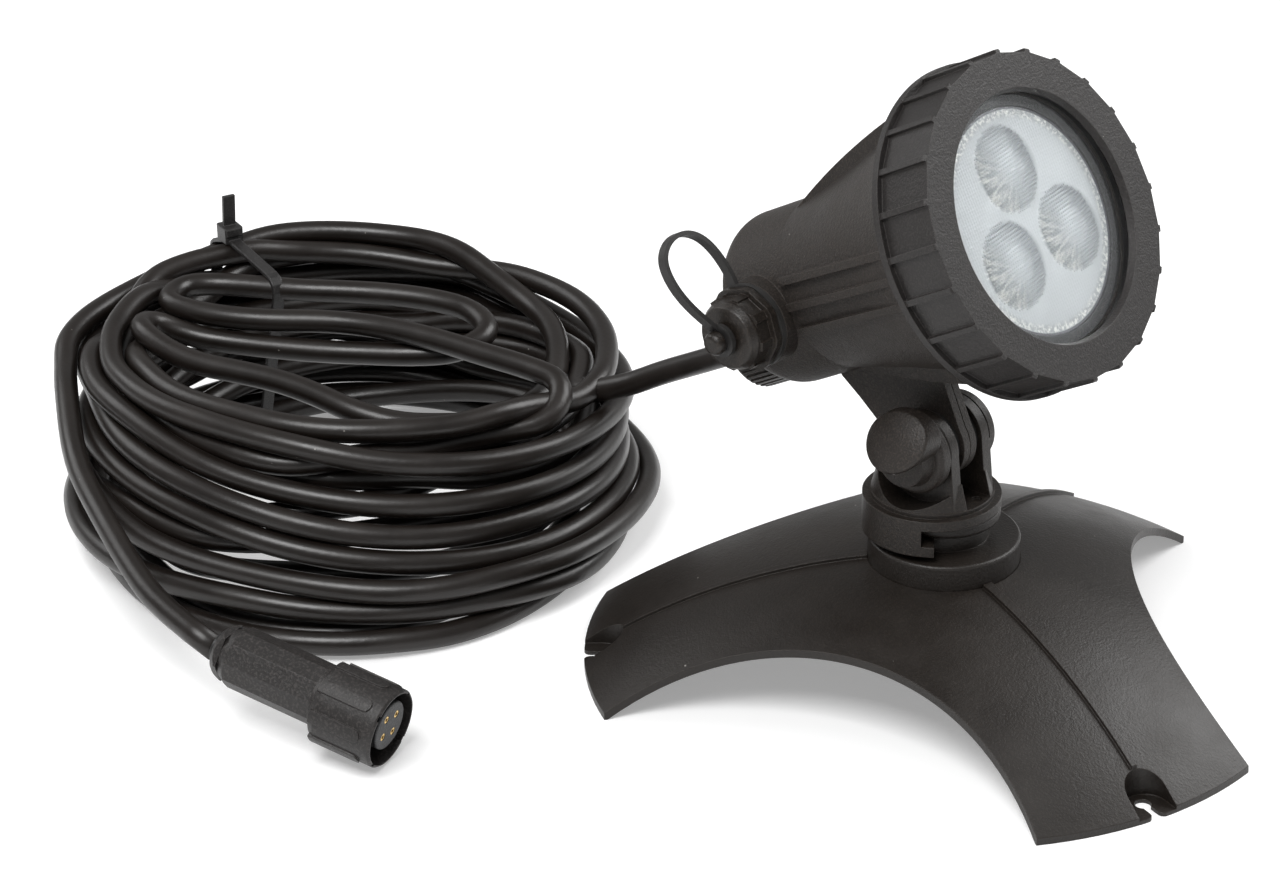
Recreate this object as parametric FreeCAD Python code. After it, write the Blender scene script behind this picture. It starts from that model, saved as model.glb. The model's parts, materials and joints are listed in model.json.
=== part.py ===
import FreeCAD, Part
import math
import os

# Underwater pond spotlight with its coiled supply cable.  Millimetres and degrees.
# The origin is where the pan axis meets the floor, +Z is up, and the lamp shines towards -Y.

Vector = FreeCAD.Vector
X = Vector(1, 0, 0)
Y = Vector(0, 1, 0)
Z = Vector(0, 0, 1)

# ------------------------------------------------------------------ clearances
turn_gap = 0.3        # between curved faces that turn past each other
face_gap = 0.1        # between flat faces that turn past each other
run_gap = 0.05        # shaft in its bore
seat_gap = 0.1        # pieces that drop into a seat

# ------------------------------------------------------------------ three-legged base
tip_radius = 90.0
tip_half_angle = 20.0
leg_heading = 11.2
leg_count = 3
waist_radius = 47.6
crown_height = 28.4
crown_flat_radius = 19.0
rim_height = 1.9
arch_radius = 150.0
shell_wall = 2.0
ridge_width_inner = 2.6
ridge_width_outer = 1.3
ridge_height = 0.9
tip_pocket_length = 10.0
fixing_hole_radius = 2.0
fixing_circle_radius = 84.0
fixing_throat = 2.2
fixing_lip_round = 1.7
pocket_half_width = 5.4
pocket_wall = 1.6
pocket_floor = 1.0

# ------------------------------------------------------------------ turntable boss on the base
boss_radius = 18.95
boss_top = 35.0
boss_cavity_radius = 16.0
boss_roof = 3.0
boss_rim_round = 0.8
neck_radius = 11.0
flange_radius = 13.8
flange_low = 39.9
flange_high = 43.6
flange_round = 1.1
spigot_post_radius = 5.5
boss_screw_radius = 1.5
boss_screw_circle = 11.0
boss_screw_head_radius = 2.8
boss_screw_head_height = 1.8
boss_post_radius = 3.2
seat_depth = 0.2

# ------------------------------------------------------------------ swivel clevis
swivel_shift = 3.33
hook_heading = 131.2
plate_radius = 17.2
plate_thickness = 2.6
drum_radius = 15.4
drum_top_radius = 13.4
drum_height = 7.6
slot_floor_rise = 1.2
slot_half_width = 4.7
ear_thickness = 3.2
ear_radius = 9.4
ear_bevel = 0.4
ear_foot_half_width = 12.9
lip_thickness = 2.7
lip_reach = 3.2
hook_opening = 3.7
tilt_axis_height = 61.6
tilt_axis_forward = 1.9
bolt_radius = 2.5
pan_screw_radius = 2.0
pan_screw_head_radius = 2.9
pan_screw_head_height = 2.0
pan_screw_bite = 11.0
pan_washer_radius = 3.1
pan_pocket_gap = 0.4
pan_washer_thickness = 0.8

# ------------------------------------------------------------------ thumb knob and nut
knob_spacer_radius = 8.6
knob_spacer_thickness = 1.0
knob_hub_radius = 10.2
knob_hub_thickness = 3.6
knob_hub_round = 1.5
knob_wing_length = 9.6
knob_wing_height = 7.0
knob_wing_rise = 5.6
knob_wing_depth = 10.2
knob_wing_turn = 18.0
knob_wing_round = 1.0
knob_dome_radius = 22.0
knob_dome_shift = 9.4
knob_collar_radius = 7.0
knob_collar_depth = 4.0
nut_cap_radius = 9.3
nut_cap_thickness = 2.6
nut_well_radius = 13.6
nut_cap_round = 0.8
washer_radius = 8.0

# ------------------------------------------------------------------ lamp head, along its own axis
tilt_angle = 29.2
axis_rise = 44.2
face_station = 57.9
barrel_radius = 22.0
barrel_rear = -34.3
barrel_round = 6.8
flare_start = -10.0
flare_middle = (26.8, 13.0)
flare_end = (35.5, 41.0)
housing_wall = 2.6
neck_outer_radius = 36.2
flank_rib_thickness = 1.9
flank_rib_pitch = 6.5
flank_rib_rear_radius = 23.4
flank_rib_front_radius = 34.8
flank_rib_start = -9.0
fin_arc = ((22.3, -8.6), (30.0, 12.1), (36.4, 40.0))
saddle_half_width = 8.5
lug_thickness = 4.8
lug_radius = 9.4
lug_seam = 0.3
lug_seam_depth = 0.5

# ------------------------------------------------------------------ bezel and optics
bezel_ribs = 24
bezel_length = 16.3
bezel_flat_radius = 39.0
bezel_rib_radius = 40.2
bezel_rib_width = 1.5
bezel_band_radius = 40.6
bezel_band_length = 1.8
bezel_opening_radius = 29.9
bezel_lip = 1.8
bezel_face_chamfer = 0.8
glass_radius = 34.2
glass_thickness = 2.0
gasket_thickness = 1.4
gasket_inner_radius = 31.0
lens_radius = 27.4
lens_plate = 2.0
lens_recess = 6.3
lens_count = 3
lens_pitch_radius = 13.3
lens_turn = 5.0
lens_cup_radius = 9.4
lens_dome_height = 1.9
lens_cup_small_radius = 4.4
lens_cup_depth = 7.4
retainer_outer_radius = 30.2
led_board_radius = 25.0
led_board_thickness = 1.6
led_radius = 2.6
led_height = 1.7
sink_flange_radius = 27.5
sink_flange_thickness = 2.0
sink_core_radius = 20.0
sink_depth = 15.0
sink_fin_gap = 2.4
sink_fin_pitch = 5.0
ledge_thickness = 2.5
lens_ledge_thickness = 3.7
lens_ledge_bore = 26.2
sink_ledge_bore = 25.0
potting_top = -12.0
driver_station = 8.0
driver_radius = 17.0
driver_thickness = 1.6
standoff_radius = 1.8
standoff_circle = 13.0
wire_radius = 0.8

# ------------------------------------------------------------------ second cable port and its cap
port_station = -20.3
port_drop = 1.0
port_pad_radius = 10.9
port_pad_face = 24.9
port_spigot_radius = 7.4
port_spigot_reach = 6.4
port_bore_radius = 5.2
port_pin_circle = 2.6
port_pin_radius = 0.6
port_pin_count = 4
strap_ring_thickness = 1.4
strap_ring_radius = 10.8
cap_flange_radius = 11.0
cap_flange_thickness = 2.0
cap_body_radius = 9.3
cap_body_length = 4.0
cap_end_radius = 7.6
cap_shoulder = 2.6
cap_facets = 8
cap_roof = 1.8
button_stem_radius = 1.5
button_stem_length = 3.0
button_radius = 2.9
button_height = 2.6
strap_eye_radius = 4.1
strap_eye_thickness = 1.3
strap_width = 2.4
strap_thickness = 1.2
strap_reach = 19.0
strap_rise = 27.1

# ------------------------------------------------------------------ cable gland
gland_drop = 9.2
gland_spigot_radius = 7.6
gland_spigot_reach = 8.2
gland_nut_radius = 10.6
gland_nut_length = 12.4
gland_nut_ribs = 40
gland_rib_height = 0.4
gland_exit_radius = 4.6
gland_snout_radius = 4.3
gland_snout_tip_radius = 3.7
gland_snout_length = 3.2

# ------------------------------------------------------------------ cable, coil, tie, connector
cable_radius = 3.15
coil_heading = -48.7
coil_foot = (-154.0, 77.0, 75.0, 81.0)
coil_belly = (-158.5, 86.0, 80.0, 76.0)
coil_head = (-161.0, 94.0, 71.0, 65.0)
coil_band = 26.0
coil_height = 51.0
coil_round_top = 7.0
coil_round_foot = 3.0
lead_first_run = 14.2
lead_route = [(-2.2, 91.0, 51.6), (-3.0, 102.0, 44.8), (-6.1, 113.2, 39.6)]
tail_route = [(-101.4, 215.0, 42.2), (-116.1, 192.8, 36.5), (-124.6, 172.8, 31.0), (-131.9, 154.6, 26.4),
              (-137.6, 137.0, 22.6)]
tie_angle = 120.0
tie_width = 3.6
tie_thickness = 1.2
tie_head = (7.0, 5.0, 4.6)
tie_tail_length = 11.0
connector_face = (-127.9, 67.5, 10.6)
connector_heading = -77.0
connector_pitch = 10.3
collar_drop = 0.9
collar_radius = 10.6
collar_length = 18.0
collar_bore = 9.3
collar_pads = 8
collar_pad_height = 0.5
collar_pad_width = 3.4
collar_pad_margin = 3.0
sleeve_radius = 7.5
sleeve_length = 28.0
sleeve_front_radius = 7.9
sleeve_flats = 10
nut_rear_radius = 5.6
nut_length = 2.6
nut_front_radius = 7.3
insert_radius = 6.3
insert_recess = 0.5
insert_stand = 8.0
contact_circle = 3.3
contact_count = 4
contact_radius = 0.95
contact_bore = 0.5
contact_turn = 55.0

# ------------------------------------------------------------------ derived places
ridge_end_radius = tip_radius - tip_pocket_length
hook = Vector(math.cos(math.radians(hook_heading)), math.sin(math.radians(hook_heading)), 0)
swivel_centre = hook * swivel_shift
tilt_axis = Vector(swivel_centre.x, swivel_centre.y - tilt_axis_forward, tilt_axis_height)
plate_low = flange_high + turn_gap
plate_high = plate_low + plate_thickness
slot_floor = plate_high + slot_floor_rise
ear_outer = slot_half_width + ear_thickness
wing_tilt = math.radians(knob_wing_turn)
wing_edge = [(knob_wing_length * math.cos(math.radians(3 * k)), knob_wing_height * math.sin(math.radians(3 * k)))
             for k in range(120)]
wing_reach = max(math.hypot(x * math.cos(wing_tilt) - y * math.sin(wing_tilt),
                            x * math.sin(wing_tilt) + y * math.cos(wing_tilt) + knob_wing_rise)
                 for x, y in wing_edge)
knob_swing_radius = wing_reach + turn_gap
lip_high = flange_low - turn_gap
lip_low = lip_high - lip_thickness
seat_height = crown_height - seat_depth
neck_start = flare_end[1]
bezel_rear = face_station - bezel_length
glass_front = face_station - bezel_lip - face_gap
glass_rear = glass_front - glass_thickness
rim_station = glass_rear - gasket_thickness
lens_front = face_station - lens_recess
lens_rear = lens_front - lens_plate
led_top = lens_rear - lens_cup_depth - 0.2
led_board_top = led_top - led_height
sink_top = led_board_top - led_board_thickness
sink_ledge_top = sink_top - sink_flange_thickness
head_place = FreeCAD.Placement(tilt_axis, FreeCAD.Rotation(X, 90.0 - tilt_angle)).multiply(
    FreeCAD.Placement(Vector(0, axis_rise, 0), FreeCAD.Rotation()))
parts = {}


# ------------------------------------------------------------------ shape helpers
def disc(radius, low, high, x=0.0, y=0.0):
    return Part.makeCylinder(radius, high - low, Vector(x, y, low), Z)


def ring(outer, inner, low, high, x=0.0, y=0.0):
    return disc(outer, low, high, x, y).cut(disc(inner, low - 1, high + 1, x, y))


def block(low, high):
    size = Vector(*high) - Vector(*low)
    return Part.makeBox(size.x, size.y, size.z, Vector(*low))


def corner(before, here, after, radius):
    """Start, middle and end of the round that blends two straight edges."""
    back = (before - here).normalize()
    ahead = (after - here).normalize()
    half = back.getAngle(ahead) / 2
    reach = radius / math.tan(half)
    middle = (back + ahead).normalize() * (radius / math.sin(half) - radius)
    return here + back * reach, here + middle, here + ahead * reach


def outline(points, place):
    """Closed wire through (u, v) or (u, v, round) points; place puts (u, v) in space."""
    spots = [place(p[0], p[1]) for p in points]
    rounds = [p[2] if len(p) > 2 else 0.0 for p in points]
    ends = []
    arcs = []
    for i, here in enumerate(spots):
        if rounds[i] > 0:
            start, middle, end = corner(spots[i - 1], here, spots[(i + 1) % len(spots)], rounds[i])
            arcs.append(Part.Arc(start, middle, end).toShape())
            ends.append((start, end))
        else:
            arcs.append(None)
            ends.append((here, here))
    edges = []
    for i in range(len(spots)):
        if arcs[i]:
            edges.append(arcs[i])
        start = ends[i][1]
        end = ends[(i + 1) % len(spots)][0]
        if start.distanceToPoint(end) > 1e-6:
            edges.append(Part.LineSegment(start, end).toShape())
    return Part.Wire(edges)


def lathe(points):
    """Solid of revolution about Z from (radius, height) or (radius, height, round) points."""
    face = Part.Face(outline(points, lambda r, h: Vector(r, 0, h)))
    return face.revolve(Vector(0, 0, 0), Z, 360)


def arc_lathe(arc, rest):
    """Solid of revolution with one three-point arc and straight edges through rest."""
    start, middle, end = [Vector(r, 0, h) for r, h in arc]
    spots = [end] + [Vector(r, 0, h) for r, h in rest] + [start]
    edges = [Part.Arc(start, middle, end).toShape()]
    for a, b in zip(spots, spots[1:]):
        if a.distanceToPoint(b) > 1e-6:
            edges.append(Part.LineSegment(a, b).toShape())
    return Part.Face(Part.Wire(edges)).revolve(Vector(0, 0, 0), Z, 360)


def union(shapes):
    return shapes[0].fuse(shapes[1:]).removeSplitter() if len(shapes) > 1 else shapes[0]


def turned(shape, angle, centre=Vector(0, 0, 0), axis=Z):
    copy = shape.copy()
    copy.rotate(centre, axis, angle)
    return copy


def around(shape, count, start=0.0):
    return [turned(shape, start + 360.0 * k / count) for k in range(count)]


def facing(shape, direction, place):
    """Moves a shape made along +Z so that it points along direction from place."""
    copy = shape.copy()
    copy.Placement = FreeCAD.Placement(place, FreeCAD.Rotation(Z, direction)).multiply(copy.Placement)
    return copy


def in_head(shape):
    """Puts a shape made about the lamp axis, with z as its station, into place."""
    copy = shape.copy()
    copy.Placement = head_place.multiply(copy.Placement)
    return copy


def keep(name, shape):
    parts[name] = shape


def polar(radius, heading, height=0.0):
    angle = math.radians(heading)
    return Vector(radius * math.cos(angle), radius * math.sin(angle), height)


# ------------------------------------------------------------------ base
span = Vector(tip_radius - crown_flat_radius, 0, rim_height - crown_height)
arch_rise = arch_radius - math.sqrt(arch_radius ** 2 - (span.Length / 2) ** 2)
arch_centre = Vector(crown_flat_radius, 0, crown_height) + span / 2
arch_centre = arch_centre - Vector(-span.z, 0, span.x).normalize() * (arch_radius - arch_rise)


def dome_height(radius, offset=0.0):
    return arch_centre.z + math.sqrt((arch_radius + offset) ** 2 - (radius - arch_centre.x) ** 2)


def dome(offset, reach, floor):
    """Everything under the arched surface, moved out by offset, as far as reach."""
    drop = crown_height + offset - arch_centre.z
    start = arch_centre.x + math.sqrt((arch_radius + offset) ** 2 - drop ** 2)
    middle = (start + reach) / 2
    arc = ((reach, dome_height(reach, offset)), (middle, dome_height(middle, offset)),
           (start, crown_height + offset))
    return arc_lathe(arc, [(0, crown_height + offset), (0, floor), (reach, floor)])


def leg_plan(low, high):
    """The three legs in plan: the tip circle less three round bays between them."""
    half = math.radians(180.0 / leg_count - tip_half_angle)
    corner_x = tip_radius * math.cos(half)
    bay_distance = (tip_radius ** 2 - waist_radius ** 2) / (2 * (corner_x - waist_radius))
    bay = disc(bay_distance - waist_radius, low, high, bay_distance, 0)
    bays = around(bay, leg_count, leg_heading + 180.0 / leg_count)
    return disc(tip_radius, low, high).cut(bays)


def u_pocket(half_width, low, high):
    """U-shaped prism, open towards the tip of a leg that points along +X."""
    centre = ridge_end_radius + pocket_half_width
    round_end = disc(half_width, low, high, centre, 0)
    mouth = block((centre, -half_width, low), (centre + tip_radius, half_width, high))
    return round_end.fuse(mouth)


def lip_cut(side):
    """Takes the corner off the slot's mouth, leaving it round."""
    corner = Vector(tip_radius - fixing_lip_round, side * (fixing_throat / 2 + fixing_lip_round), 0)
    low = min(side * (fixing_throat / 2 - seat_gap), corner.y)
    high = max(side * (fixing_throat / 2 - seat_gap), corner.y)
    square = block((corner.x, low, -1), (tip_radius + fixing_lip_round, high, crown_height))
    return square.cut(disc(fixing_lip_round, -2, crown_height + 1, corner.x, corner.y))


def make_base_shell():
    shell = dome(0, tip_radius, 0).cut(dome(-shell_wall, tip_radius + 1, -3))
    edges = [(boss_radius - 1, -ridge_width_inner / 2), (ridge_end_radius + 1, -ridge_width_outer / 2),
             (ridge_end_radius + 1, ridge_width_outer / 2), (boss_radius - 1, ridge_width_inner / 2)]
    wedge = Part.Face(outline(edges, lambda u, v: Vector(u, v, 0))).extrude(Z * 60)
    crest = wedge.common(dome(ridge_height, tip_radius, 0)).cut(dome(-shell_wall / 2, tip_radius + 1, -3))
    well = u_pocket(pocket_half_width + pocket_wall, 0, crown_height).common(dome(0, tip_radius, 0))
    shell = union([shell] + around(crest, leg_count, leg_heading) + around(well, leg_count, leg_heading))
    hollow = u_pocket(pocket_half_width, pocket_floor, crown_height + 5)
    hole = disc(fixing_hole_radius, -1, crown_height, fixing_circle_radius, 0)
    throat = block((fixing_circle_radius, -fixing_throat / 2, -1),
                   (fixing_circle_radius + tip_radius, fixing_throat / 2, crown_height))
    lips = [lip_cut(1), lip_cut(-1)]
    screw_hole = disc(boss_screw_radius + turn_gap, 0, crown_height + 5, boss_screw_circle, 0)
    seat = disc(boss_radius + seat_gap, seat_height, crown_height + 5)
    for cut in (hollow, hole, throat, screw_hole, *lips):
        shell = shell.cut(around(cut, leg_count, leg_heading))
    return shell.common(leg_plan(-1, crown_height + 5)).cut(seat)


def make_base_boss():
    boss = lathe([(0, seat_height), (boss_radius, seat_height), (boss_radius, boss_top, boss_rim_round),
                  (neck_radius, boss_top), (neck_radius, flange_low), (flange_radius, flange_low, flange_round),
                  (flange_radius, flange_high, flange_round), (0, flange_high)])
    cavity = ring(boss_cavity_radius, spigot_post_radius, seat_height - 1, boss_top - boss_roof)
    posts = around(disc(boss_post_radius, seat_height, boss_top, boss_screw_circle, 0), leg_count, leg_heading)
    boss = union([boss.cut(cavity)] + posts)
    pilot = disc(boss_screw_radius + run_gap, seat_height - 1, boss_top - boss_roof / 2, boss_screw_circle, 0)
    bore = disc(pan_screw_radius + run_gap, flange_high - pan_screw_bite - 1, flange_high + 1)
    return boss.cut(around(pilot, leg_count, leg_heading)).cut(bore)


def make_boss_screws():
    underside = crown_height - shell_wall
    head = lathe([(0, underside - boss_screw_head_height), (boss_screw_head_radius, underside
                  - boss_screw_head_height, 0.6), (boss_screw_head_radius, underside), (0, underside)])
    shank = disc(boss_screw_radius, underside - 0.5, boss_top - boss_roof)
    slot = block((-boss_screw_head_radius - 1, -0.4, underside - boss_screw_head_height - 1),
                 (boss_screw_head_radius + 1, 0.4, underside - boss_screw_head_height + 0.8))
    screw = head.fuse(shank).cut(slot)
    screw.translate(Vector(boss_screw_circle, 0, 0))
    return Part.makeCompound(around(screw, leg_count, leg_heading))


# ------------------------------------------------------------------ swivel
def ear_face(x):
    """Side view of an ear in the plane at x: a foot that narrows towards the round head."""
    head = tilt_axis.y
    foot = swivel_centre.y
    points = [(foot - ear_foot_half_width, plate_high), (foot + ear_foot_half_width, plate_high),
              (head + ear_radius, tilt_axis.z), (head - ear_radius, tilt_axis.z)]
    return Part.Face(outline(points, lambda y, z: Vector(x, y, z)))


def make_swivel_clevis():
    """A turning plate with a hooked skirt, a tapered drum and two ears that hold the lamp's lug."""
    cx = swivel_centre.x
    cy = swivel_centre.y
    top = tilt_axis.z
    far = 3 * plate_radius
    width = 2 * ear_outer
    plate = disc(plate_radius, plate_low, plate_high, cx, cy)
    drum = Part.makeCone(drum_radius, drum_top_radius, drum_height, Vector(cx, cy, plate_high), Z)
    drum = drum.fuse(disc(drum_radius, plate_high - 0.5, slot_floor, cx, cy))
    drum = drum.cut(block((cx + ear_outer - 0.5, -far, slot_floor), (far, far, 2 * top)))
    skirt = disc(plate_radius, lip_low, plate_low + 0.5, cx, cy)
    skirt = skirt.cut(disc(flange_radius + turn_gap, lip_high, plate_low))
    skirt = skirt.cut(disc(neck_radius + turn_gap, lip_low - 1, lip_high + 1))
    upper = block((hook_opening, -far, lip_high - 0.01), (far, far, plate_low + 1))
    lower = block((hook_opening - lip_reach, -far, lip_low - 1), (far, far, lip_high))
    keepers = [turned(box, hook_heading) for box in (upper, lower)]
    for box in keepers:
        box.translate(Vector(cx, cy, 0))
    skirt = skirt.common(keepers[0].fuse(keepers[1]))
    foot = ear_face(cx - ear_outer).extrude(X * width)
    foot = foot.common(disc(drum_radius, plate_high - 0.5, top + 1, cx, cy))
    rim = ear_radius - ear_bevel
    head = lathe([(0, 0), (rim, 0), (ear_radius, ear_bevel), (ear_radius, width - ear_bevel),
                  (rim, width), (0, width)])
    head = facing(head, X, Vector(cx - ear_outer, tilt_axis.y, top))
    body = union([plate, drum, skirt, foot, head])
    knob_well = facing(disc(knob_swing_radius, 0, far), X * -1, Vector(cx - ear_outer, tilt_axis.y, top))
    nut_well = facing(disc(nut_well_radius, 0, far), X, Vector(cx + ear_outer, tilt_axis.y, top))
    slot = block((cx - slot_half_width, -far, slot_floor), (cx + slot_half_width, far, 3 * top))
    bore = facing(disc(bolt_radius + run_gap, 0, 2 * far), X, Vector(cx - far, tilt_axis.y, top))
    pan_hole = disc(pan_screw_radius + turn_gap, lip_low, slot_floor + 1)
    pocket_high = slot_floor + pan_washer_thickness + pan_screw_head_height + 1
    pocket = disc(pan_washer_radius + pan_pocket_gap, slot_floor, pocket_high)
    drain = disc(1.3, slot_floor - 0.6, slot_floor + 1, cx + 1.6, cy - plate_radius + 4.6)
    for cut in (slot, knob_well, nut_well, bore, pan_hole, pocket, drain):
        body = body.cut(cut)
    return body


def make_pan_screw():
    seat = slot_floor + pan_washer_thickness + face_gap
    head = lathe([(0, seat), (pan_screw_head_radius, seat), (pan_screw_head_radius,
                  seat + pan_screw_head_height, 1.2), (0, seat + pan_screw_head_height)])
    shank = disc(pan_screw_radius, flange_high - pan_screw_bite, seat + 0.5)
    across = block((-pan_screw_head_radius - 1, -0.5, seat + pan_screw_head_height - 1.1),
                   (pan_screw_head_radius + 1, 0.5, seat + pan_screw_head_height + 1))
    return head.fuse(shank).cut([across, turned(across, 90)])


def make_pan_washer():
    low = slot_floor + face_gap / 2
    return ring(pan_washer_radius, pan_screw_radius + run_gap, low, low + pan_washer_thickness)


def make_friction_washers():
    half_lug = lug_thickness / 2
    inner = half_lug + run_gap
    width = slot_half_width - run_gap - inner
    washer = ring(washer_radius, bolt_radius + run_gap, 0, width)
    left = facing(washer, X * -1, tilt_axis - X * inner)
    right = facing(washer, X, tilt_axis + X * inner)
    return Part.makeCompound([left, right])


def make_tilt_bolt():
    start = tilt_axis - X * (ear_outer + knob_spacer_thickness + knob_wing_depth)
    length = 2 * ear_outer + nut_cap_thickness - 0.6 + knob_spacer_thickness + knob_wing_depth
    return facing(disc(bolt_radius, 0, length), X, start)


def make_tilt_nut():
    cap = lathe([(0, 0), (nut_cap_radius, 0), (nut_cap_radius, nut_cap_thickness, nut_cap_round),
                 (0, nut_cap_thickness)])
    cap = cap.cut(disc(bolt_radius + run_gap, -1, nut_cap_thickness - 0.5))
    return facing(cap, X, tilt_axis + X * (ear_outer + face_gap))


def make_thumb_knob():
    """Made pointing along +Z with +Y as up, then turned to point along -X."""
    hub = lathe([(0, 0), (knob_hub_radius, 0), (knob_hub_radius, knob_hub_thickness, knob_hub_round),
                 (0, knob_hub_thickness)])
    spacer = disc(knob_spacer_radius, -knob_spacer_thickness, 0.5)
    collar = Part.makeCone(knob_collar_radius + 1, knob_collar_radius, knob_collar_depth,
                           Vector(0, 0, knob_hub_thickness - 0.5), Z)
    oval = Part.Ellipse(Vector(knob_wing_length, 0, 0), Vector(0, knob_wing_height, 0), Vector(0, 0, 0))
    wing = Part.Face(Part.Wire(oval.toShape())).extrude(Z * knob_wing_depth)
    dome_centre = Vector(0, -knob_dome_shift, knob_wing_depth - knob_dome_radius)
    wing = wing.common(Part.makeSphere(knob_dome_radius, dome_centre))
    wing = wing.makeFillet(knob_wing_round, [e for e in wing.Edges
                                             if e.BoundBox.ZMax > knob_wing_depth - 0.2
                                             and e.BoundBox.YLength > knob_wing_height])
    wing.rotate(Vector(0, 0, 0), Z, knob_wing_turn)
    wing.translate(Vector(0, knob_wing_rise, knob_hub_thickness - 0.5))
    knob = union([spacer, hub, collar, wing])
    knob = knob.cut(disc(bolt_radius + 0.02, -knob_spacer_thickness - 1, knob_wing_depth - face_gap + 0.02))
    knob.rotate(Vector(0, 0, 0), Y, -90)
    knob.rotate(Vector(0, 0, 0), X, 90)
    knob.translate(tilt_axis - X * (ear_outer + face_gap + knob_spacer_thickness))
    return knob


# ------------------------------------------------------------------ lamp head
def flare_arc(inset):
    return ((barrel_radius - inset, flare_start), (flare_middle[0] - inset, flare_middle[1]),
            (flare_end[0] - inset, flare_end[1]))


def lug_plate(half, inset):
    """Hinge lug, seen along X, hanging from the barrel to the round about the tilt axis."""
    down = -axis_rise
    radius = lug_radius - inset
    points = [(-20.6 + inset, down + 25), (-20.6 + inset, down + 21.9), (-17.6 + inset, down + 15.4),
              (-14.6 + inset, down + 7.8), (-8.6 + inset, down + 1.6), (-7.2 + inset, down - 4.6),
              (9.2 - inset, down - 0.8), (10.4 - inset, down + 14), (12 - inset, down + 25)]
    face = Part.Face(outline(points, lambda z, y: Vector(-half, y, z)))
    eye = facing(disc(radius, 0, 2 * half), X, Vector(-half, down, 0))
    return face.extrude(X * (2 * half)).fuse(eye)


def flank_ribs():
    """Three straight ribs on one flank, made on the -X side."""
    cone = lathe([(0, flank_rib_start), (flank_rib_rear_radius, flank_rib_start),
                  (flank_rib_front_radius, neck_start), (0, neck_start)])
    ribs = []
    for k in (-1, 0, 1):
        middle = k * flank_rib_pitch
        slab = block((-2 * barrel_radius, middle - flank_rib_thickness / 2, flank_rib_start - 1),
                     (-barrel_radius / 2, middle + flank_rib_thickness / 2, neck_start + 1))
        ribs.append(slab.common(cone))
    return ribs


def top_fins():
    swell = arc_lathe(fin_arc, [(0, fin_arc[2][1]), (0, fin_arc[0][1])])
    fins = []
    for k in (-1, 0, 1):
        middle = k * flank_rib_pitch
        slab = block((middle - flank_rib_thickness / 2, barrel_radius / 2, fin_arc[0][1] - 1),
                     (middle + flank_rib_thickness / 2, 2 * barrel_radius, fin_arc[2][1] + 1))
        fins.append(slab.common(swell))
    saddle = block((-saddle_half_width, -2 * barrel_radius, fin_arc[0][1] - 1),
                   (saddle_half_width, -barrel_radius / 2, fin_arc[2][1] + 1))
    return fins + [saddle.common(swell)]


def port_shape(shape):
    """Moves a shape made along +Z, from the lamp axis outwards, to the port on the -X flank."""
    return facing(shape, X * -1, Vector(0, -port_drop, port_station))


def make_lamp_housing():
    rear = lathe([(0, barrel_rear), (barrel_radius, barrel_rear, barrel_round), (barrel_radius, flare_start),
                  (0, flare_start)])
    bell = arc_lathe(flare_arc(0), [(0, flare_end[1]), (0, flare_start)])
    neck = disc(neck_outer_radius, neck_start - 0.8, glass_front - 0.8)
    half = lug_thickness / 2
    plates = lug_plate(half, 0).cut(lug_plate(lug_seam / 2, 0)).fuse(lug_plate(lug_seam, lug_seam_depth))
    pad = port_shape(disc(port_pad_radius, barrel_radius / 2, port_pad_face))
    spigot = port_shape(disc(port_spigot_radius, barrel_radius / 2, port_pad_face + port_spigot_reach))
    gland = disc(gland_spigot_radius, barrel_rear - gland_spigot_reach, barrel_rear + 1, 0, -gland_drop)
    ribs = flank_ribs()
    solids = [rear, bell, neck, plates, pad, spigot, gland] + ribs + top_fins()
    solids += [rib.mirror(Vector(0, 0, 0), X) for rib in ribs]
    body = union(solids)
    wall = housing_wall
    cavity = lathe([(0, barrel_rear + wall), (barrel_radius - wall, barrel_rear + wall, barrel_round - wall),
                    (barrel_radius - wall, flare_start + 0.01), (0, flare_start + 0.01)])
    flare = arc_lathe(flare_arc(wall), [(0, flare_end[1]), (0, flare_start)])
    front = disc(flare_end[0] - wall, flare_end[1] - 0.01, lens_rear - lens_ledge_thickness)
    sink_seat = ring(3 * barrel_radius, sink_ledge_bore, sink_ledge_top - ledge_thickness, sink_ledge_top)
    mouth = disc(retainer_outer_radius + seat_gap, lens_rear, face_station)
    throat = disc(lens_ledge_bore, lens_rear - lens_ledge_thickness - 1, lens_rear + 1)
    glass_seat = disc(glass_radius + seat_gap, rim_station, face_station)
    inside = [cavity, flare.cut(sink_seat), front, mouth, throat, glass_seat]
    body = body.cut(inside)
    body = body.cut(port_shape(disc(port_bore_radius, barrel_radius - wall - 2, 60)))
    body = body.cut(disc(cable_radius + seat_gap, barrel_rear - 20, barrel_rear + 5, 0, -gland_drop))
    pivot = facing(disc(bolt_radius + run_gap, 0, 2 * barrel_radius), X, Vector(-barrel_radius, -axis_rise, 0))
    return in_head(body.cut(pivot))


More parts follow.
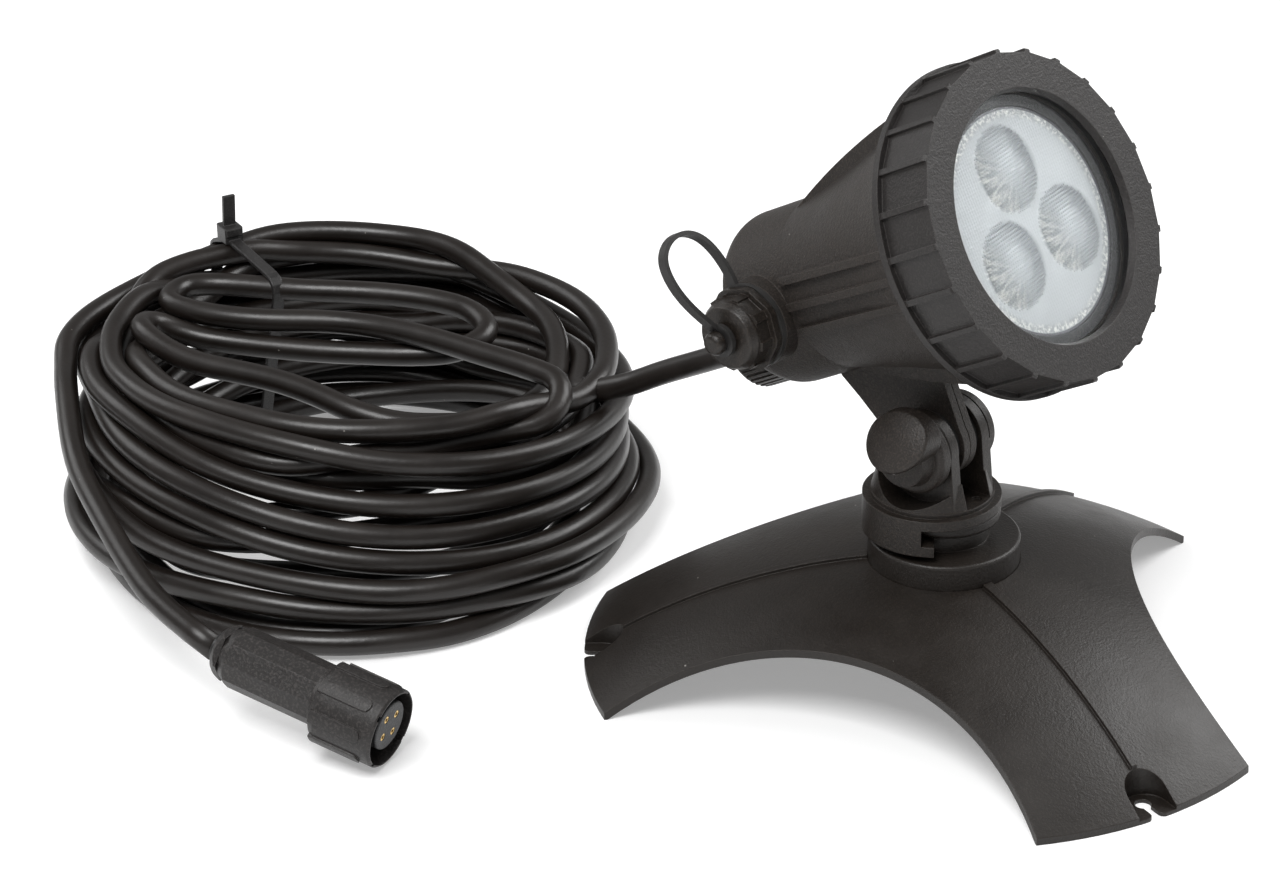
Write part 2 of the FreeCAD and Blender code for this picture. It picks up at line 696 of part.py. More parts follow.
def make_bezel_ring():
    half = 180.0 / bezel_ribs
    corner_radius = bezel_flat_radius / math.cos(math.radians(half))
    points = [polar(corner_radius, half * (2 * k + 1)) for k in range(bezel_ribs)]
    prism = Part.Face(Part.makePolygon(points + points[:1])).extrude(Z * bezel_length)
    prism.translate(Z * bezel_rear)
    rib = block((bezel_flat_radius - 1, -bezel_rib_width / 2, bezel_rear),
                (bezel_rib_radius, bezel_rib_width / 2, face_station))
    band = disc(bezel_band_radius, bezel_rear, bezel_rear + bezel_band_length)
    body = union([prism, band] + around(rib, bezel_ribs, half))
    limit = lathe([(0, bezel_rear), (bezel_band_radius, bezel_rear), (bezel_band_radius, face_station
                   - bezel_face_chamfer), (bezel_band_radius - bezel_face_chamfer, face_station),
                   (0, face_station)])
    bore = disc(neck_outer_radius + turn_gap, bezel_rear - 1, face_station - bezel_lip)
    opening = Part.makeCone(bezel_opening_radius, bezel_opening_radius + 0.7, bezel_lip + 0.01,
                            Vector(0, 0, face_station - bezel_lip), Z)
    body = body.common(limit).cut([bore, disc(bezel_opening_radius, 0, face_station), opening])
    return in_head(body)


def lens_places():
    return [polar(lens_pitch_radius, 90.0 + lens_turn + 360.0 * k / lens_count) for k in range(lens_count)]


def make_lens_array():
    ball = (lens_cup_radius ** 2 + lens_dome_height ** 2) / (2 * lens_dome_height)
    solids = [disc(lens_radius, lens_rear, lens_front)]
    for spot in lens_places():
        dome_ball = Part.makeSphere(ball, spot + Z * (lens_front + lens_dome_height - ball))
        solids.append(dome_ball.common(disc(lens_cup_radius, lens_front - 0.5, face_station, spot.x, spot.y)))
        solids.append(Part.makeCone(lens_cup_small_radius, lens_cup_radius - 0.4, lens_cup_depth + 0.2,
                                    Vector(spot.x, spot.y, lens_rear - lens_cup_depth), Z))
    return in_head(union(solids))


def make_led_emitters():
    leds = []
    for spot in lens_places():
        base = block((spot.x - led_radius, spot.y - led_radius, led_board_top),
                     (spot.x + led_radius, spot.y + led_radius, led_board_top + 0.7))
        bump = Part.makeSphere(led_radius * 0.8, Vector(spot.x, spot.y, led_board_top))
        top = disc(led_radius, led_board_top + 0.5, led_top, spot.x, spot.y)
        leds.append(base.fuse(bump.common(top)))
    return in_head(Part.makeCompound(leds))


def make_heat_sink():
    core = disc(sink_core_radius, sink_ledge_top - sink_depth, sink_ledge_top + 0.5)
    gaps = []
    count = int(sink_core_radius / sink_fin_pitch)
    for k in range(-count, count + 1):
        middle = k * sink_fin_pitch
        gaps.append(block((middle - sink_fin_gap / 2, -2 * sink_core_radius, sink_ledge_top - sink_depth - 1),
                          (middle + sink_fin_gap / 2, 2 * sink_core_radius, sink_ledge_top - 3.0)))
    flange = disc(sink_flange_radius, sink_ledge_top, sink_top)
    return in_head(union([core.cut(gaps), flange]))


def make_potting():
    body = disc(barrel_radius - housing_wall - seat_gap, barrel_rear + barrel_round, potting_top)
    return in_head(body.cut(disc(cable_radius + seat_gap, barrel_rear, potting_top - 6, 0, -gland_drop)))


def make_driver_parts():
    top = driver_station + driver_thickness
    room = sink_ledge_top - sink_depth - top - 0.8
    cans = [disc(3.6, top, top + room, -6, 4), disc(2.6, top, top + room * 0.8, 4, 9)]
    chips = [block((2, -4, top), (10, 3, top + 3)), block((-9, -9, top), (-2, -4, top + 2.2)),
             block((3, -11, top), (8, -7, top + 4.5))]
    return in_head(Part.makeCompound(cans + chips))


def make_standoffs():
    post = disc(standoff_radius, potting_top, driver_station, standoff_circle, 0)
    return in_head(Part.makeCompound(around(post, 3, 30)))


def make_inner_wires():
    wires = [disc(wire_radius, potting_top, driver_station, x, -5) for x in (-2.2, 2.2)]
    return in_head(Part.makeCompound(wires))


# ------------------------------------------------------------------ port and cap
def prism(radius, sides, low, high, turn=0.0):
    points = [polar(radius, turn + 360.0 * k / sides, low) for k in range(sides)]
    return Part.Face(Part.makePolygon(points + points[:1])).extrude(Z * (high - low))


ring_low = port_pad_face + seat_gap
ring_high = ring_low + strap_ring_thickness
cap_low = ring_high + seat_gap
cap_flange_high = cap_low + cap_flange_thickness
cap_body_high = cap_flange_high + cap_body_length
cap_high = cap_body_high + cap_shoulder
eye_low = cap_high + 0.9
eye_high = eye_low + strap_eye_thickness
spigot_end = port_pad_face + port_spigot_reach


def make_port_cap():
    flange = prism(cap_flange_radius, cap_facets, cap_low, cap_flange_high, 12)
    flange = flange.common(disc(cap_flange_radius - 0.35, cap_low, cap_flange_high))
    grip = prism(cap_body_radius, cap_facets, cap_flange_high - 0.3, cap_body_high, 12)
    shoulder = lathe([(0, cap_body_high - 0.3), (cap_body_radius - 0.6, cap_body_high - 0.3),
                      (cap_body_radius - 0.6, cap_body_high + 0.6, 0.5), (cap_end_radius, cap_high, 1.0),
                      (0, cap_high)])
    ribs = [turned(block((cap_body_radius - 1.2, -1.1, cap_flange_high - 0.2),
                         (cap_body_radius + 0.1, 1.1, cap_body_high)), 12 + 45 * k) for k in range(cap_facets)]
    stem = disc(button_stem_radius, cap_high - 0.5, cap_high + button_stem_length)
    button = lathe([(0, cap_high + button_stem_length - 0.2), (button_radius, cap_high
                    + button_stem_length - 0.2, 0.5), (button_radius, cap_high + button_stem_length
                    + button_height, 1.6), (0, cap_high + button_stem_length + button_height)])
    cap = union([flange, grip, shoulder, stem, button] + ribs)
    hollow = disc(port_spigot_radius + turn_gap, cap_low - 1, spigot_end + turn_gap)
    return in_head(port_shape(cap.cut(hollow)))


def ribbon(points, thickness, width):
    """Flat band of one width, bent in the plane of points, with smooth sides."""
    curve = Part.BSplineCurve()
    curve.interpolate([Vector(a, b, 0) for a, b in points])
    first = curve.FirstParameter
    span = curve.LastParameter - first
    sides = ([], [])
    for k in range(13):
        at = first + span * k / 12
        spot = curve.value(at)
        along = curve.tangent(at)[0]
        across = Vector(-along.y, along.x, 0) * (thickness / 2)
        sides[0].append(spot + across)
        sides[1].append(spot - across)
    edges = []
    for side in (sides[0], sides[1][::-1]):
        edge = Part.BSplineCurve()
        edge.interpolate(side)
        edges.append(edge.toShape())
    caps = [Part.LineSegment(sides[0][-1], sides[1][-1]).toShape(),
            Part.LineSegment(sides[1][0], sides[0][0]).toShape()]
    face = Part.Face(Part.Wire([edges[0], caps[0], edges[1], caps[1]]))
    band = face.extrude(Z * width)
    band.translate(Z * (-width / 2))
    return band


def make_cap_strap():
    """The band is drawn with a as the way out of the port and b as up along the lamp's height."""
    loop = ring(strap_ring_radius, port_spigot_radius + seat_gap, ring_low, ring_high)
    eye = ring(strap_eye_radius, button_stem_radius + seat_gap, eye_low, eye_high)
    eye_middle = (eye_low + eye_high) / 2
    ring_middle = (ring_low + ring_high) / 2
    path = [(ring_middle, strap_ring_radius - 1.5)]
    path += [(ring_middle + strap_reach * reach, strap_rise * rise) for reach, rise in
             ((0.042, 0.62), (0.358, 0.963), (0.747, 1.0), (0.979, 0.878), (1.0, 0.627), (0.832, 0.347))]
    path += [(eye_middle + 0.3, strap_eye_radius - 1.4)]
    band = ribbon(path, strap_thickness, strap_width)
    band.rotate(Vector(0, 0, 0), Y, -90)
    return in_head(port_shape(union([loop, eye, band])))


def make_port_socket():
    body = disc(port_bore_radius - seat_gap, barrel_radius - housing_wall, port_pad_face + 2)
    pins = [disc(port_pin_radius + 0.02, port_pad_face - 3, spigot_end, *polar(port_pin_circle, 45 + 90 * k)[:2])
            for k in range(port_pin_count)]
    return in_head(port_shape(body.cut(pins)))


def make_port_pins():
    pins = [disc(port_pin_radius, port_pad_face - 2.9, spigot_end - 0.6, *polar(port_pin_circle, 45 + 90 * k)[:2])
            for k in range(port_pin_count)]
    return in_head(port_shape(Part.makeCompound(pins)))


# ------------------------------------------------------------------ gland
nut_high = barrel_rear - 0.6
nut_low = nut_high - gland_nut_length - 1.6
snout_low = nut_low - gland_snout_length


def at_gland(shape):
    copy = shape.copy()
    copy.translate(Vector(0, -gland_drop, 0))
    return in_head(copy)


def make_gland_nut():
    body = lathe([(0, nut_low), (gland_nut_radius - 2.6, nut_low, 1.2), (gland_nut_radius, nut_low + 2.6, 0.8),
                  (gland_nut_radius, nut_high), (0, nut_high)])
    rib = block((gland_nut_radius - 0.6, -0.45, nut_low + 3.2), (gland_nut_radius + gland_rib_height, 0.45, nut_high))
    body = union([body] + around(rib, gland_nut_ribs))
    thread = disc(gland_spigot_radius + seat_gap, barrel_rear - gland_spigot_reach - 0.4, nut_high + 1)
    return at_gland(body.cut([thread, disc(gland_exit_radius, nut_low - 1, nut_high + 1)]))


def make_gland_seal():
    spigot_face = barrel_rear - gland_spigot_reach
    seal = lathe([(0, snout_low), (gland_snout_tip_radius, snout_low, 0.3),
                  (gland_snout_radius, nut_low - 0.6), (gland_snout_radius, spigot_face - 0.1),
                  (0, spigot_face - 0.1)])
    return at_gland(seal.cut(disc(cable_radius + 0.02, snout_low - 1, nut_high)))


def make_cable_stub():
    return at_gland(disc(cable_radius, snout_low, potting_top - 8))


# ------------------------------------------------------------------ cable
def exit_point(station):
    return head_place.multVec(Vector(0, -gland_drop, station))


def cable_tube(name, points):
    """Straight runs joined by tangent arcs, each as large as its two runs allow."""
    edges = []
    here = points[0]
    length = 0.0
    for before, at, after in zip(points, points[1:], points[2:]):
        back = (before - at)
        ahead = (after - at)
        turn = math.pi - back.getAngle(ahead)
        reach = 0.45 * min(back.Length, ahead.Length)
        radius = reach / math.tan(turn / 2)
        start, middle, end = corner(before, at, after, radius)
        edges.append(Part.LineSegment(here, start).toShape())
        edges.append(Part.Arc(start, middle, end).toShape())
        here = end
        print(name, "turn %.1f deg, radius %.1f mm" % (math.degrees(turn), radius))
    edges.append(Part.LineSegment(here, points[-1]).toShape())
    wire = Part.Wire(edges)
    circle = Part.Circle(points[0], points[1] - points[0], cable_radius)
    profile = Part.Wire(circle.toShape())
    tube = wire.makePipeShell([profile], True, False)
    length = wire.Length
    print(name, "length %.1f mm, volume ratio %.4f"
          % (length, tube.Volume / (math.pi * cable_radius ** 2 * length)))
    return tube


def coil_oval(height, inset):
    """Ellipse of the coil's side at a height, in axes turned by coil_heading."""
    share = 2 * height / coil_height
    ends = (coil_foot, coil_belly) if share < 1 else (coil_belly, coil_head)
    share = share if share < 1 else share - 1
    x, y, half_length, half_depth = [a + (b - a) * share for a, b in zip(*ends)]
    return x, y, half_length - inset, half_depth - inset


def coil_side(inset, heights):
    """Stack of ovals; each seam lies on the +X side of its oval."""
    wires = []
    for height in heights:
        x, y, half_length, half_depth = coil_oval(height, inset)
        edge = Part.Ellipse(Vector(0, 0, 0), 1.0, 0.999).toShape()
        stretch = FreeCAD.Matrix(half_length, 0, 0, x, 0, half_depth / 0.999, 0, y, 0, 0, 1, height, 0, 0, 0, 1)
        wires.append(Part.Wire(edge.transformGeometry(stretch).Edges))
    return Part.makeLoft(wires, True, True)


def make_cable_coil():
    outer = coil_side(0, (0, coil_height / 2, coil_height))
    outer = outer.makeFillet(coil_round_top, [e for e in outer.Edges if e.BoundBox.ZMin > coil_height - 0.01])
    outer = outer.makeFillet(coil_round_foot, [e for e in outer.Edges if e.BoundBox.ZMax < 0.01])
    return turned(outer.cut(coil_side(coil_band, (-1, coil_height / 2, coil_height + 1))), coil_heading)


def coil_spot(angle, height, inset):
    """Distance and height, along one direction from the coil's foot centre, of its side."""
    x, y, half_length, half_depth = coil_oval(height, inset)
    way = Vector(math.cos(math.radians(angle)), math.sin(math.radians(angle)), 0)
    start = Vector(coil_foot[0] - x, coil_foot[1] - y, 0)
    a = (way.x / half_length) ** 2 + (way.y / half_depth) ** 2
    b = 2 * (start.x * way.x / half_length ** 2 + start.y * way.y / half_depth ** 2)
    c = (start.x / half_length) ** 2 + (start.y / half_depth) ** 2 - 1
    return (-b + math.sqrt(b * b - 4 * a * c)) / (2 * a)


def make_cable_tie():
    """A flat band around the coil's section, with its locking head and tail on top."""
    grow = tie_thickness
    lean = [(coil_spot(tie_angle, 0, 0), 0.0), (coil_spot(tie_angle, coil_height, 0), coil_height),
            (coil_spot(tie_angle, coil_height, coil_band), coil_height), (coil_spot(tie_angle, 0, coil_band), 0.0)]
    inside = [(lean[0][0], grow, 3.0), (lean[1][0], coil_height, 7.0), (lean[2][0], coil_height, 3.0),
              (lean[3][0], grow, 3.0)]
    outside = [(lean[0][0] + grow, 0.0, 4.2), (lean[1][0] + grow, coil_height + grow, 8.2),
               (lean[2][0] - grow, coil_height + grow, 4.2), (lean[3][0] - grow, 0.0, 4.2)]
    faces = [Part.Face(outline(spots, lambda u, v: Vector(u, -tie_width / 2, v))) for spots in (outside, inside)]
    band = faces[0].cut(faces[1]).extrude(Y * tie_width)
    middle = lean[1][0] - 11
    head = block((middle - tie_head[0] / 2, -tie_head[1] / 2, coil_height + 0.2),
                 (middle + tie_head[0] / 2, tie_head[1] / 2, coil_height + tie_head[2]))
    tail = block((middle - 0.7, -tie_width / 2, coil_height + tie_head[2] - 1),
                 (middle + 0.7, tie_width / 2, coil_height + tie_head[2] + tie_tail_length))
    tie = union([band, head, tail])
    tie.rotate(Vector(0, 0, 0), Z, tie_angle)
    tie.translate(Vector(coil_foot[0], coil_foot[1], 0))
    return turned(tie, coil_heading)


# ------------------------------------------------------------------ connector
connector_back = Vector(-math.cos(math.radians(connector_heading)) * math.cos(math.radians(connector_pitch)),
                        -math.sin(math.radians(connector_heading)) * math.cos(math.radians(connector_pitch)),
                        math.sin(math.radians(connector_pitch)))
connector_place = FreeCAD.Placement(Vector(*connector_face), FreeCAD.Rotation(X, Z.cross(connector_back),
                                    connector_back, "ZYX"))
sleeve_rear = collar_length + sleeve_length
clamp_rear = sleeve_rear + nut_length
grommet_rear = clamp_rear + 1.6


def in_connector(shape, lift=collar_drop):
    """Puts a shape made along +Z, with z = 0 at the mating face, onto the connector's axis."""
    copy = shape.copy()
    copy.translate(X * -lift)
    copy.Placement = connector_place.multiply(copy.Placement)
    return copy


def on_connector(station):
    return connector_place.multVec(Vector(-collar_drop, 0, station))


def cable_hole(low, high):
    return disc(cable_radius + seat_gap, low, high)


def make_connector_body():
    sleeve = prism(sleeve_radius / math.cos(math.pi / sleeve_flats), sleeve_flats, collar_length + 0.4, sleeve_rear)
    taper = lathe([(0, 0), (3 * sleeve_radius, 0), (3 * sleeve_radius, sleeve_rear - 2.5),
                   (sleeve_radius + 0.2, sleeve_rear - 2.5), (sleeve_radius - 1.2, sleeve_rear), (0, sleeve_rear)])
    front = disc(sleeve_front_radius, insert_stand, collar_length + 1)
    body = union([sleeve.common(taper), front])
    body = body.cut(disc(insert_radius + seat_gap, 0, collar_length))
    return in_connector(body.cut(cable_hole(collar_length - 1, sleeve_rear + 1)))


def make_connector_collar():
    core = collar_radius - collar_pad_height
    body = lathe([(0, 0), (core - 0.5, 0), (core, 0.6), (core, collar_length - 2.0),
                  (core - 0.9, collar_length), (0, collar_length)])
    half = collar_pad_width / 2
    low = collar_pad_margin + half
    pad = block((core - 2, -half, low), (collar_radius, half, collar_length - 0.8))
    end = facing(disc(half, 0, collar_radius - core + 2), X, Vector(core - 2, 0, low))
    limit = disc(collar_radius, 0, collar_length)
    body = union([body] + around(pad.fuse(end).common(limit), collar_pads, 10))
    bore = disc(collar_bore, -1, collar_length + 1)
    keys = [turned(block((collar_bore - 1, -0.7, -1), (collar_bore + 0.5, 0.7, 2.2)), 45 + 90 * k) for k in range(4)]
    return in_connector(body.cut([bore] + keys), 0)


def make_connector_insert():
    body = lathe([(0, insert_recess), (insert_radius, insert_recess, 0.4), (insert_radius, collar_length - 0.2),
                  (0, collar_length - 0.2)])
    holes = [disc(contact_radius + 0.02, insert_recess - 1, insert_recess + 12,
                  *polar(contact_circle, contact_turn + 90 * k)[:2]) for k in range(contact_count)]
    return in_connector(body.cut(holes))


def make_connector_contacts():
    pin = ring(contact_radius, contact_bore, insert_recess + 0.1, insert_recess + 8)
    base = disc(contact_radius, insert_recess + 7.5, insert_recess + 11.9)
    contact = pin.fuse(base)
    contact.translate(Vector(contact_circle, 0, 0))
    return in_connector(Part.makeCompound(around(contact, contact_count, contact_turn)))


def make_connector_clamp():
    """Six-sided clamp nut with a tapered rear."""
    nut = prism(nut_front_radius, 6, sleeve_rear, clamp_rear, 30)
    taper = Part.makeCone(nut_front_radius + 0.4, nut_rear_radius, nut_length, Vector(0, 0, sleeve_rear), Z)
    return in_connector(nut.common(taper).cut(disc(cable_radius + 0.6, sleeve_rear - 1, clamp_rear + 1)))


def make_connector_grommet():
    body = lathe([(0, sleeve_rear + 0.1), (cable_radius + 0.5, sleeve_rear + 0.1),
                  (cable_radius + 0.5, grommet_rear, 0.3), (0, grommet_rear)])
    return in_connector(body.cut(disc(cable_radius + 0.02, 0, grommet_rear + 5)))


def make_connector_stub():
    return in_connector(disc(cable_radius, collar_length + 0.2, grommet_rear))


# ------------------------------------------------------------------ whole light
keep("base_shell", make_base_shell())
keep("base_boss", make_base_boss())
keep("boss_screws", make_boss_screws())
keep("pan_screw", make_pan_screw())
keep("swivel_clevis", make_swivel_clevis())
keep("pan_washer", make_pan_washer())
keep("friction_washers", make_friction_washers())
keep("tilt_bolt", make_tilt_bolt())
keep("tilt_nut", make_tilt_nut())
keep("thumb_knob", make_thumb_knob())
keep("lamp_housing", make_lamp_housing())
keep("bezel_ring", make_bezel_ring())
keep("front_glass", in_head(disc(glass_radius, glass_rear, glass_front)))
keep("glass_gasket", in_head(ring(glass_radius, gasket_inner_radius, rim_station, glass_rear)))
keep("lens_array", make_lens_array())
keep("lens_retainer", in_head(ring(retainer_outer_radius, lens_radius + seat_gap, lens_rear, lens_front + 0.6)))
keep("led_board", in_head(disc(led_board_radius, sink_top, led_board_top)))
keep("led_emitters", make_led_emitters())
keep("heat_sink", make_heat_sink())
keep("driver_board", in_head(disc(driver_radius, driver_station, driver_station + driver_thickness)))
keep("driver_parts", make_driver_parts())
keep("board_standoffs", make_standoffs())
keep("inner_wires", make_inner_wires())
keep("potting", make_potting())
keep("port_cap", make_port_cap())
keep("cap_strap", make_cap_strap())
keep("port_socket", make_port_socket())
keep("port_pins", make_port_pins())
keep("gland_nut", make_gland_nut())
keep("gland_seal", make_gland_seal())
keep("cable_stub", make_cable_stub())
lead_start = snout_low - seat_gap
keep("cable_lead", cable_tube("cable_lead", [exit_point(lead_start), exit_point(lead_start - lead_first_run)]
                              + [Vector(*p) for p in lead_route]))
keep("cable_coil", make_cable_coil())
tail_end = grommet_rear + seat_gap
keep("cable_tail", cable_tube("cable_tail", [Vector(*p) for p in tail_route]
                              + [on_connector(tail_end)]))
keep("cable_tie", make_cable_tie())
keep("connector_body", make_connector_body())
keep("connector_collar", make_connector_collar())
keep("connector_insert", make_connector_insert())
keep("connector_contacts", make_connector_contacts())
keep("connector_clamp", make_connector_clamp())
keep("connector_grommet", make_connector_grommet())
keep("connector_stub", make_connector_stub())

os.makedirs("parts", exist_ok=True)
for name, shape in parts.items():
    box = shape.BoundBox
    print("%-20s solids %2d  valid %s  volume %9.1f  x %7.1f %7.1f  y %7.1f %7.1f  z %7.1f %7.1f"
          % (name, len(shape.Solids), shape.isValid(), shape.Volume, box.XMin, box.XMax, box.YMin, box.YMax,
             box.ZMin, box.ZMax))
    shape.exportStep("parts/" + name + ".step")
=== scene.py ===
"""Underwater pond light on a three-legged foot, with its coiled cable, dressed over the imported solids."""
import itertools
import json
import math

import bmesh
import bpy
import numpy as np
from mathutils import Matrix, Vector


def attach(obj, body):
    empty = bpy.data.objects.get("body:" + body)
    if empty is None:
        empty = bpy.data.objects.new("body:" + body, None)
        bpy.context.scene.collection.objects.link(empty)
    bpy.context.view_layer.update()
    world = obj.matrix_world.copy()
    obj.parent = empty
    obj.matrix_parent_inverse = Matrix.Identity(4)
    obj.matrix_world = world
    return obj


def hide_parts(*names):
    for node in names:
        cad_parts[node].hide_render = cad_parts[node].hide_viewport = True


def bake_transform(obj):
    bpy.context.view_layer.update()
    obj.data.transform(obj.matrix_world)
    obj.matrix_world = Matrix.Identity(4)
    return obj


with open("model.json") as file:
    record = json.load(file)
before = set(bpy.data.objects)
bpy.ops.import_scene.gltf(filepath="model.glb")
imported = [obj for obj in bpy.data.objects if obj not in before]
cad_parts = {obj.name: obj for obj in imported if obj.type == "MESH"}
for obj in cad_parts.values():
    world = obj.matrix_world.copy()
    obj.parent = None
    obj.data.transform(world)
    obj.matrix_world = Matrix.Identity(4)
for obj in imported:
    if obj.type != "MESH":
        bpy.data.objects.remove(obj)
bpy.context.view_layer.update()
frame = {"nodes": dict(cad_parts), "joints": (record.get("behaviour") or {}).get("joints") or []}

bl_info = {
    "name": "Pond light",
    "version": (1, 0, 0),
    "blender": (4, 5, 0),
    "location": "View3D > Sidebar > Pond light",
    "description": "Builds a coiled-cable pond light over its packed solids",
    "category": "Object",
}

MM = 0.001
LENS_RING = next(joint for joint in frame["joints"] if joint["name"] == "bezel_turn")
FACE_CENTRE = Vector(LENS_RING["pos_m"])
LAMP_AXIS = Vector(LENS_RING["axis"]).normalized()
LAMP_RIGHT = Vector((1.0, 0.0, 0.0))
LAMP_UP = LAMP_AXIS.cross(LAMP_RIGHT)

# ---- tones, painted edge highlights and dust
EDGE_RADIUS = 0.35 * MM
# strength of the painted highlight on rounded edges
EDGE_HIGHLIGHT = 0.35
SPECK_REACH = 0.085
PLASTIC_SPECKS = 0.02
PLASTIC_DUST = (0.42, 0.40, 0.37)
JACKET_SPECKS = 0.03
JACKET_DUST = (0.40, 0.38, 0.35)
JACKET_MAP = "along"
JACKET_MAP_RATE = 40.0

# ---- lenses
LENSES = 3
LENS_RADIUS = 11.2 * MM
DOME_RADIUS = 10.2 * MM
LENS_CIRCLE = 13.3 * MM
LENS_TURN = 95.0
LENS_PLATE = -6.3
LENS_DOME = 1.9
FACET_ROWS = 25
FACET_SINK = 0.05
# distances from the plate's middle where its edge band, painted darker with painted glints, starts and ends,
# and where its wall, painted dark as shade, starts
PLATE_EDGE_STARTS = (24.3 * MM, 25.6 * MM)
PLATE_EDGE_ENDS = (26.5 * MM, 27.0 * MM)
PLATE_WALL = (26.6 * MM, 26.9 * MM)
PLATE_TONES = ((0.63, 0.65, 0.665), (0.70, 0.72, 0.735))
# painted shade and painted glints on the plate's edge band
EDGE_SHADE = (0.38, 0.39, 0.40)
EDGE_PAINTED_GLINT = (1.0, 0.99, 0.95)
# painted shade on the plate's outer wall
WALL_SHADE = (0.15, 0.147, 0.165)
# the side of each lens that is painted lit; its other side is painted in shade
LIT_SIDE = (-0.93, -0.37, 0.0)
LENS_TONE = (0.60, 0.625, 0.645)
LENS_SHADE = (0.40, 0.42, 0.44)
# colour of each lens's painted brighter core
LENS_LIT_CORE = (0.72, 0.74, 0.76)
# colour of the painted rays of light
LENS_PAINTED_RAY = (1.0, 0.99, 0.96)
# colour of the painted highlight round each lens's rim
LENS_RIM_HIGHLIGHT = (0.85, 0.86, 0.87)

# ---- stage
CAMERA_LENS = 101.49
CAMERA_PLACE = (-640.16, -468.64, 457.10)
CAMERA_TURNS = ((-48.36, "Z"), (90 - 26.55, "X"), (-0.79, "Z"))
LAMP_TARGET = (-0.03, 0.06, 0.05)
# name, place, size in metres and the setting with the power
LAMPS = (("key_lamp", (-0.65, -0.10, 1.05), 0.55, "key_power"),
         ("fill_lamp", (0.75, -0.35, 0.75), 0.7, "side_power"),
         ("rear_lamp", (-0.3, 1.1, 0.8), 0.7, "rear_power"))
FLOOR_HALF = 4.0
FLOOR_GLOW = 0.30

# ---- cable, in millimetres
CABLE_RADIUS = 3.15
LEAD_ROUTE = [(-2.19, 63.27, 66.72), (-2.19, 75.66, 59.79), (-2.2, 91.0, 51.6), (-3.0, 102.0, 44.8)]
TAIL_ROUTE = [(-116.1, 192.8, 36.5), (-124.6, 172.8, 31.0), (-131.9, 154.6, 26.4), (-137.6, 137.0, 22.6),
              (-139.0, 115.8, 19.6)]
COIL_HEADING = math.radians(-48.7)
COIL_LEVELS = (0.0, 25.5, 51.0)
COIL_OVALS = ((-154.0, 77.0, 75.0, 81.0), (-158.5, 86.0, 80.0, 76.0), (-161.0, 94.0, 71.0, 65.0))
COIL_CEILING = 51.5
COIL_STATIONS = 72
COIL_STRIDE = 2
COIL_STEP = 6.2
# each turn: heights on its right, back, left and front, then how far inside the coil's side it lies there
COIL_TURNS = (
    ((33, 27, 16, 31), (8, 10, 9, 8)),
    ((14, 16, 9, 12), (12, 14, 17, 15)),
    ((5, 6, 4, 4), (13, 18, 15, 9)),
    ((4, 4, 4, 4), (1, 3, 8, 0)),
    ((6, 7, 10.9, 11.3), (-2, 2, 2, 0)),
    ((11, 12, 27, 16.5), (-8, 1, 7, -1)),
    ((14, 18, 36, 23), (-1.6, 1, 10, 0)),
    ((22, 22, 19, 25), (6, 8, 5.6, 8)),
    ((17.6, 27, 41, 30), (-1, 0, 8, 0)),
    ((28, 31, 33, 37), (6, 8, 12, 8)),
    ((25, 35, 42, 36.5), (-1, 0, 9, 1)),
    ((33.4, 40, 49, 44), (-5, 3, 14, 0)),
    ((44, 44, 48, 47.4), (-4.1, 3, 18, 4)),
    ((40, 49, 46, 41.0), (8, 8, 15, 7.4)),
    ((46.4, 50.5, 43, 49), (-2, 1, 5, 0)),
)
# a turn climbs to the next one over this part of its round
CLIMB_FROM = math.radians(20)
CLIMB_OVER = math.radians(80)
# size, rate and start of the slow waves in the turns' height and inset
HEIGHT_WAVES = ((1.0, 2.37, 1.1), (0.8, 3.61, 0.0))
INSET_WAVES = ((1.1, 2.83, 0.0), (0.7, 4.19, 2.0))
EASE_OVER = math.radians(55)
FOLD_AFTER = math.radians(300.0)
FOLD_UNTIL = math.radians(318.0)
# hairpins laid over the opening: right of and behind the middle of the coil's top, and height
FOLDS = ((50, -46, 41), (64, -40, 43.5), (64, -30, 46.5), (52, -25, 49.5), (32, -12, 50.5), (8, -1, 51),
         (-17, 1, 51), (-35, 5, 50.5), (-47, 13, 50.5), (-42, 24, 51), (-27, 24, 51.5), (-10, 20, 51.5),
         (8, 18, 51.5), (26, 15, 51), (41, 8, 50), (46, -3, 48), (36, -9, 45.5), (18, -7, 44.5),
         (-6, -4, 44.5), (-30, 1, 46), (-46, 3, 48), (-52, -6, 49), (-43, -17, 49.5), (-29, -24, 49.5),
         (-11, -31, 49), (5, -40, 47), (20, -48, 44))
COIL_FIRST = (math.radians(-17.3), 39.6, 1.5)
COIL_LAST = (math.radians(201.4), 42.2, 0.0)

# ---- cable tie
TIE_ANGLE = COIL_HEADING + math.radians(120)
TIE_INSIDE = 34 * MM
TIE_CLEARANCE = 0.15 * MM
TIE_SPOTS = 90
TIE_TAPER = 0.92
STRAND_SPOTS = 24
# middle, half sizes and lean of the head's block, its collar and the strap's tail
TIE_HEAD = (((0, 0, 2.2), (3.0, 2.7, 2.3), 0.0), ((0, 0, 3.3), (3.5, 2.4, 1.1), 0.0),
            ((0.4, 0, 8.6), (0.65, 1.8, 5.0), 0.10))


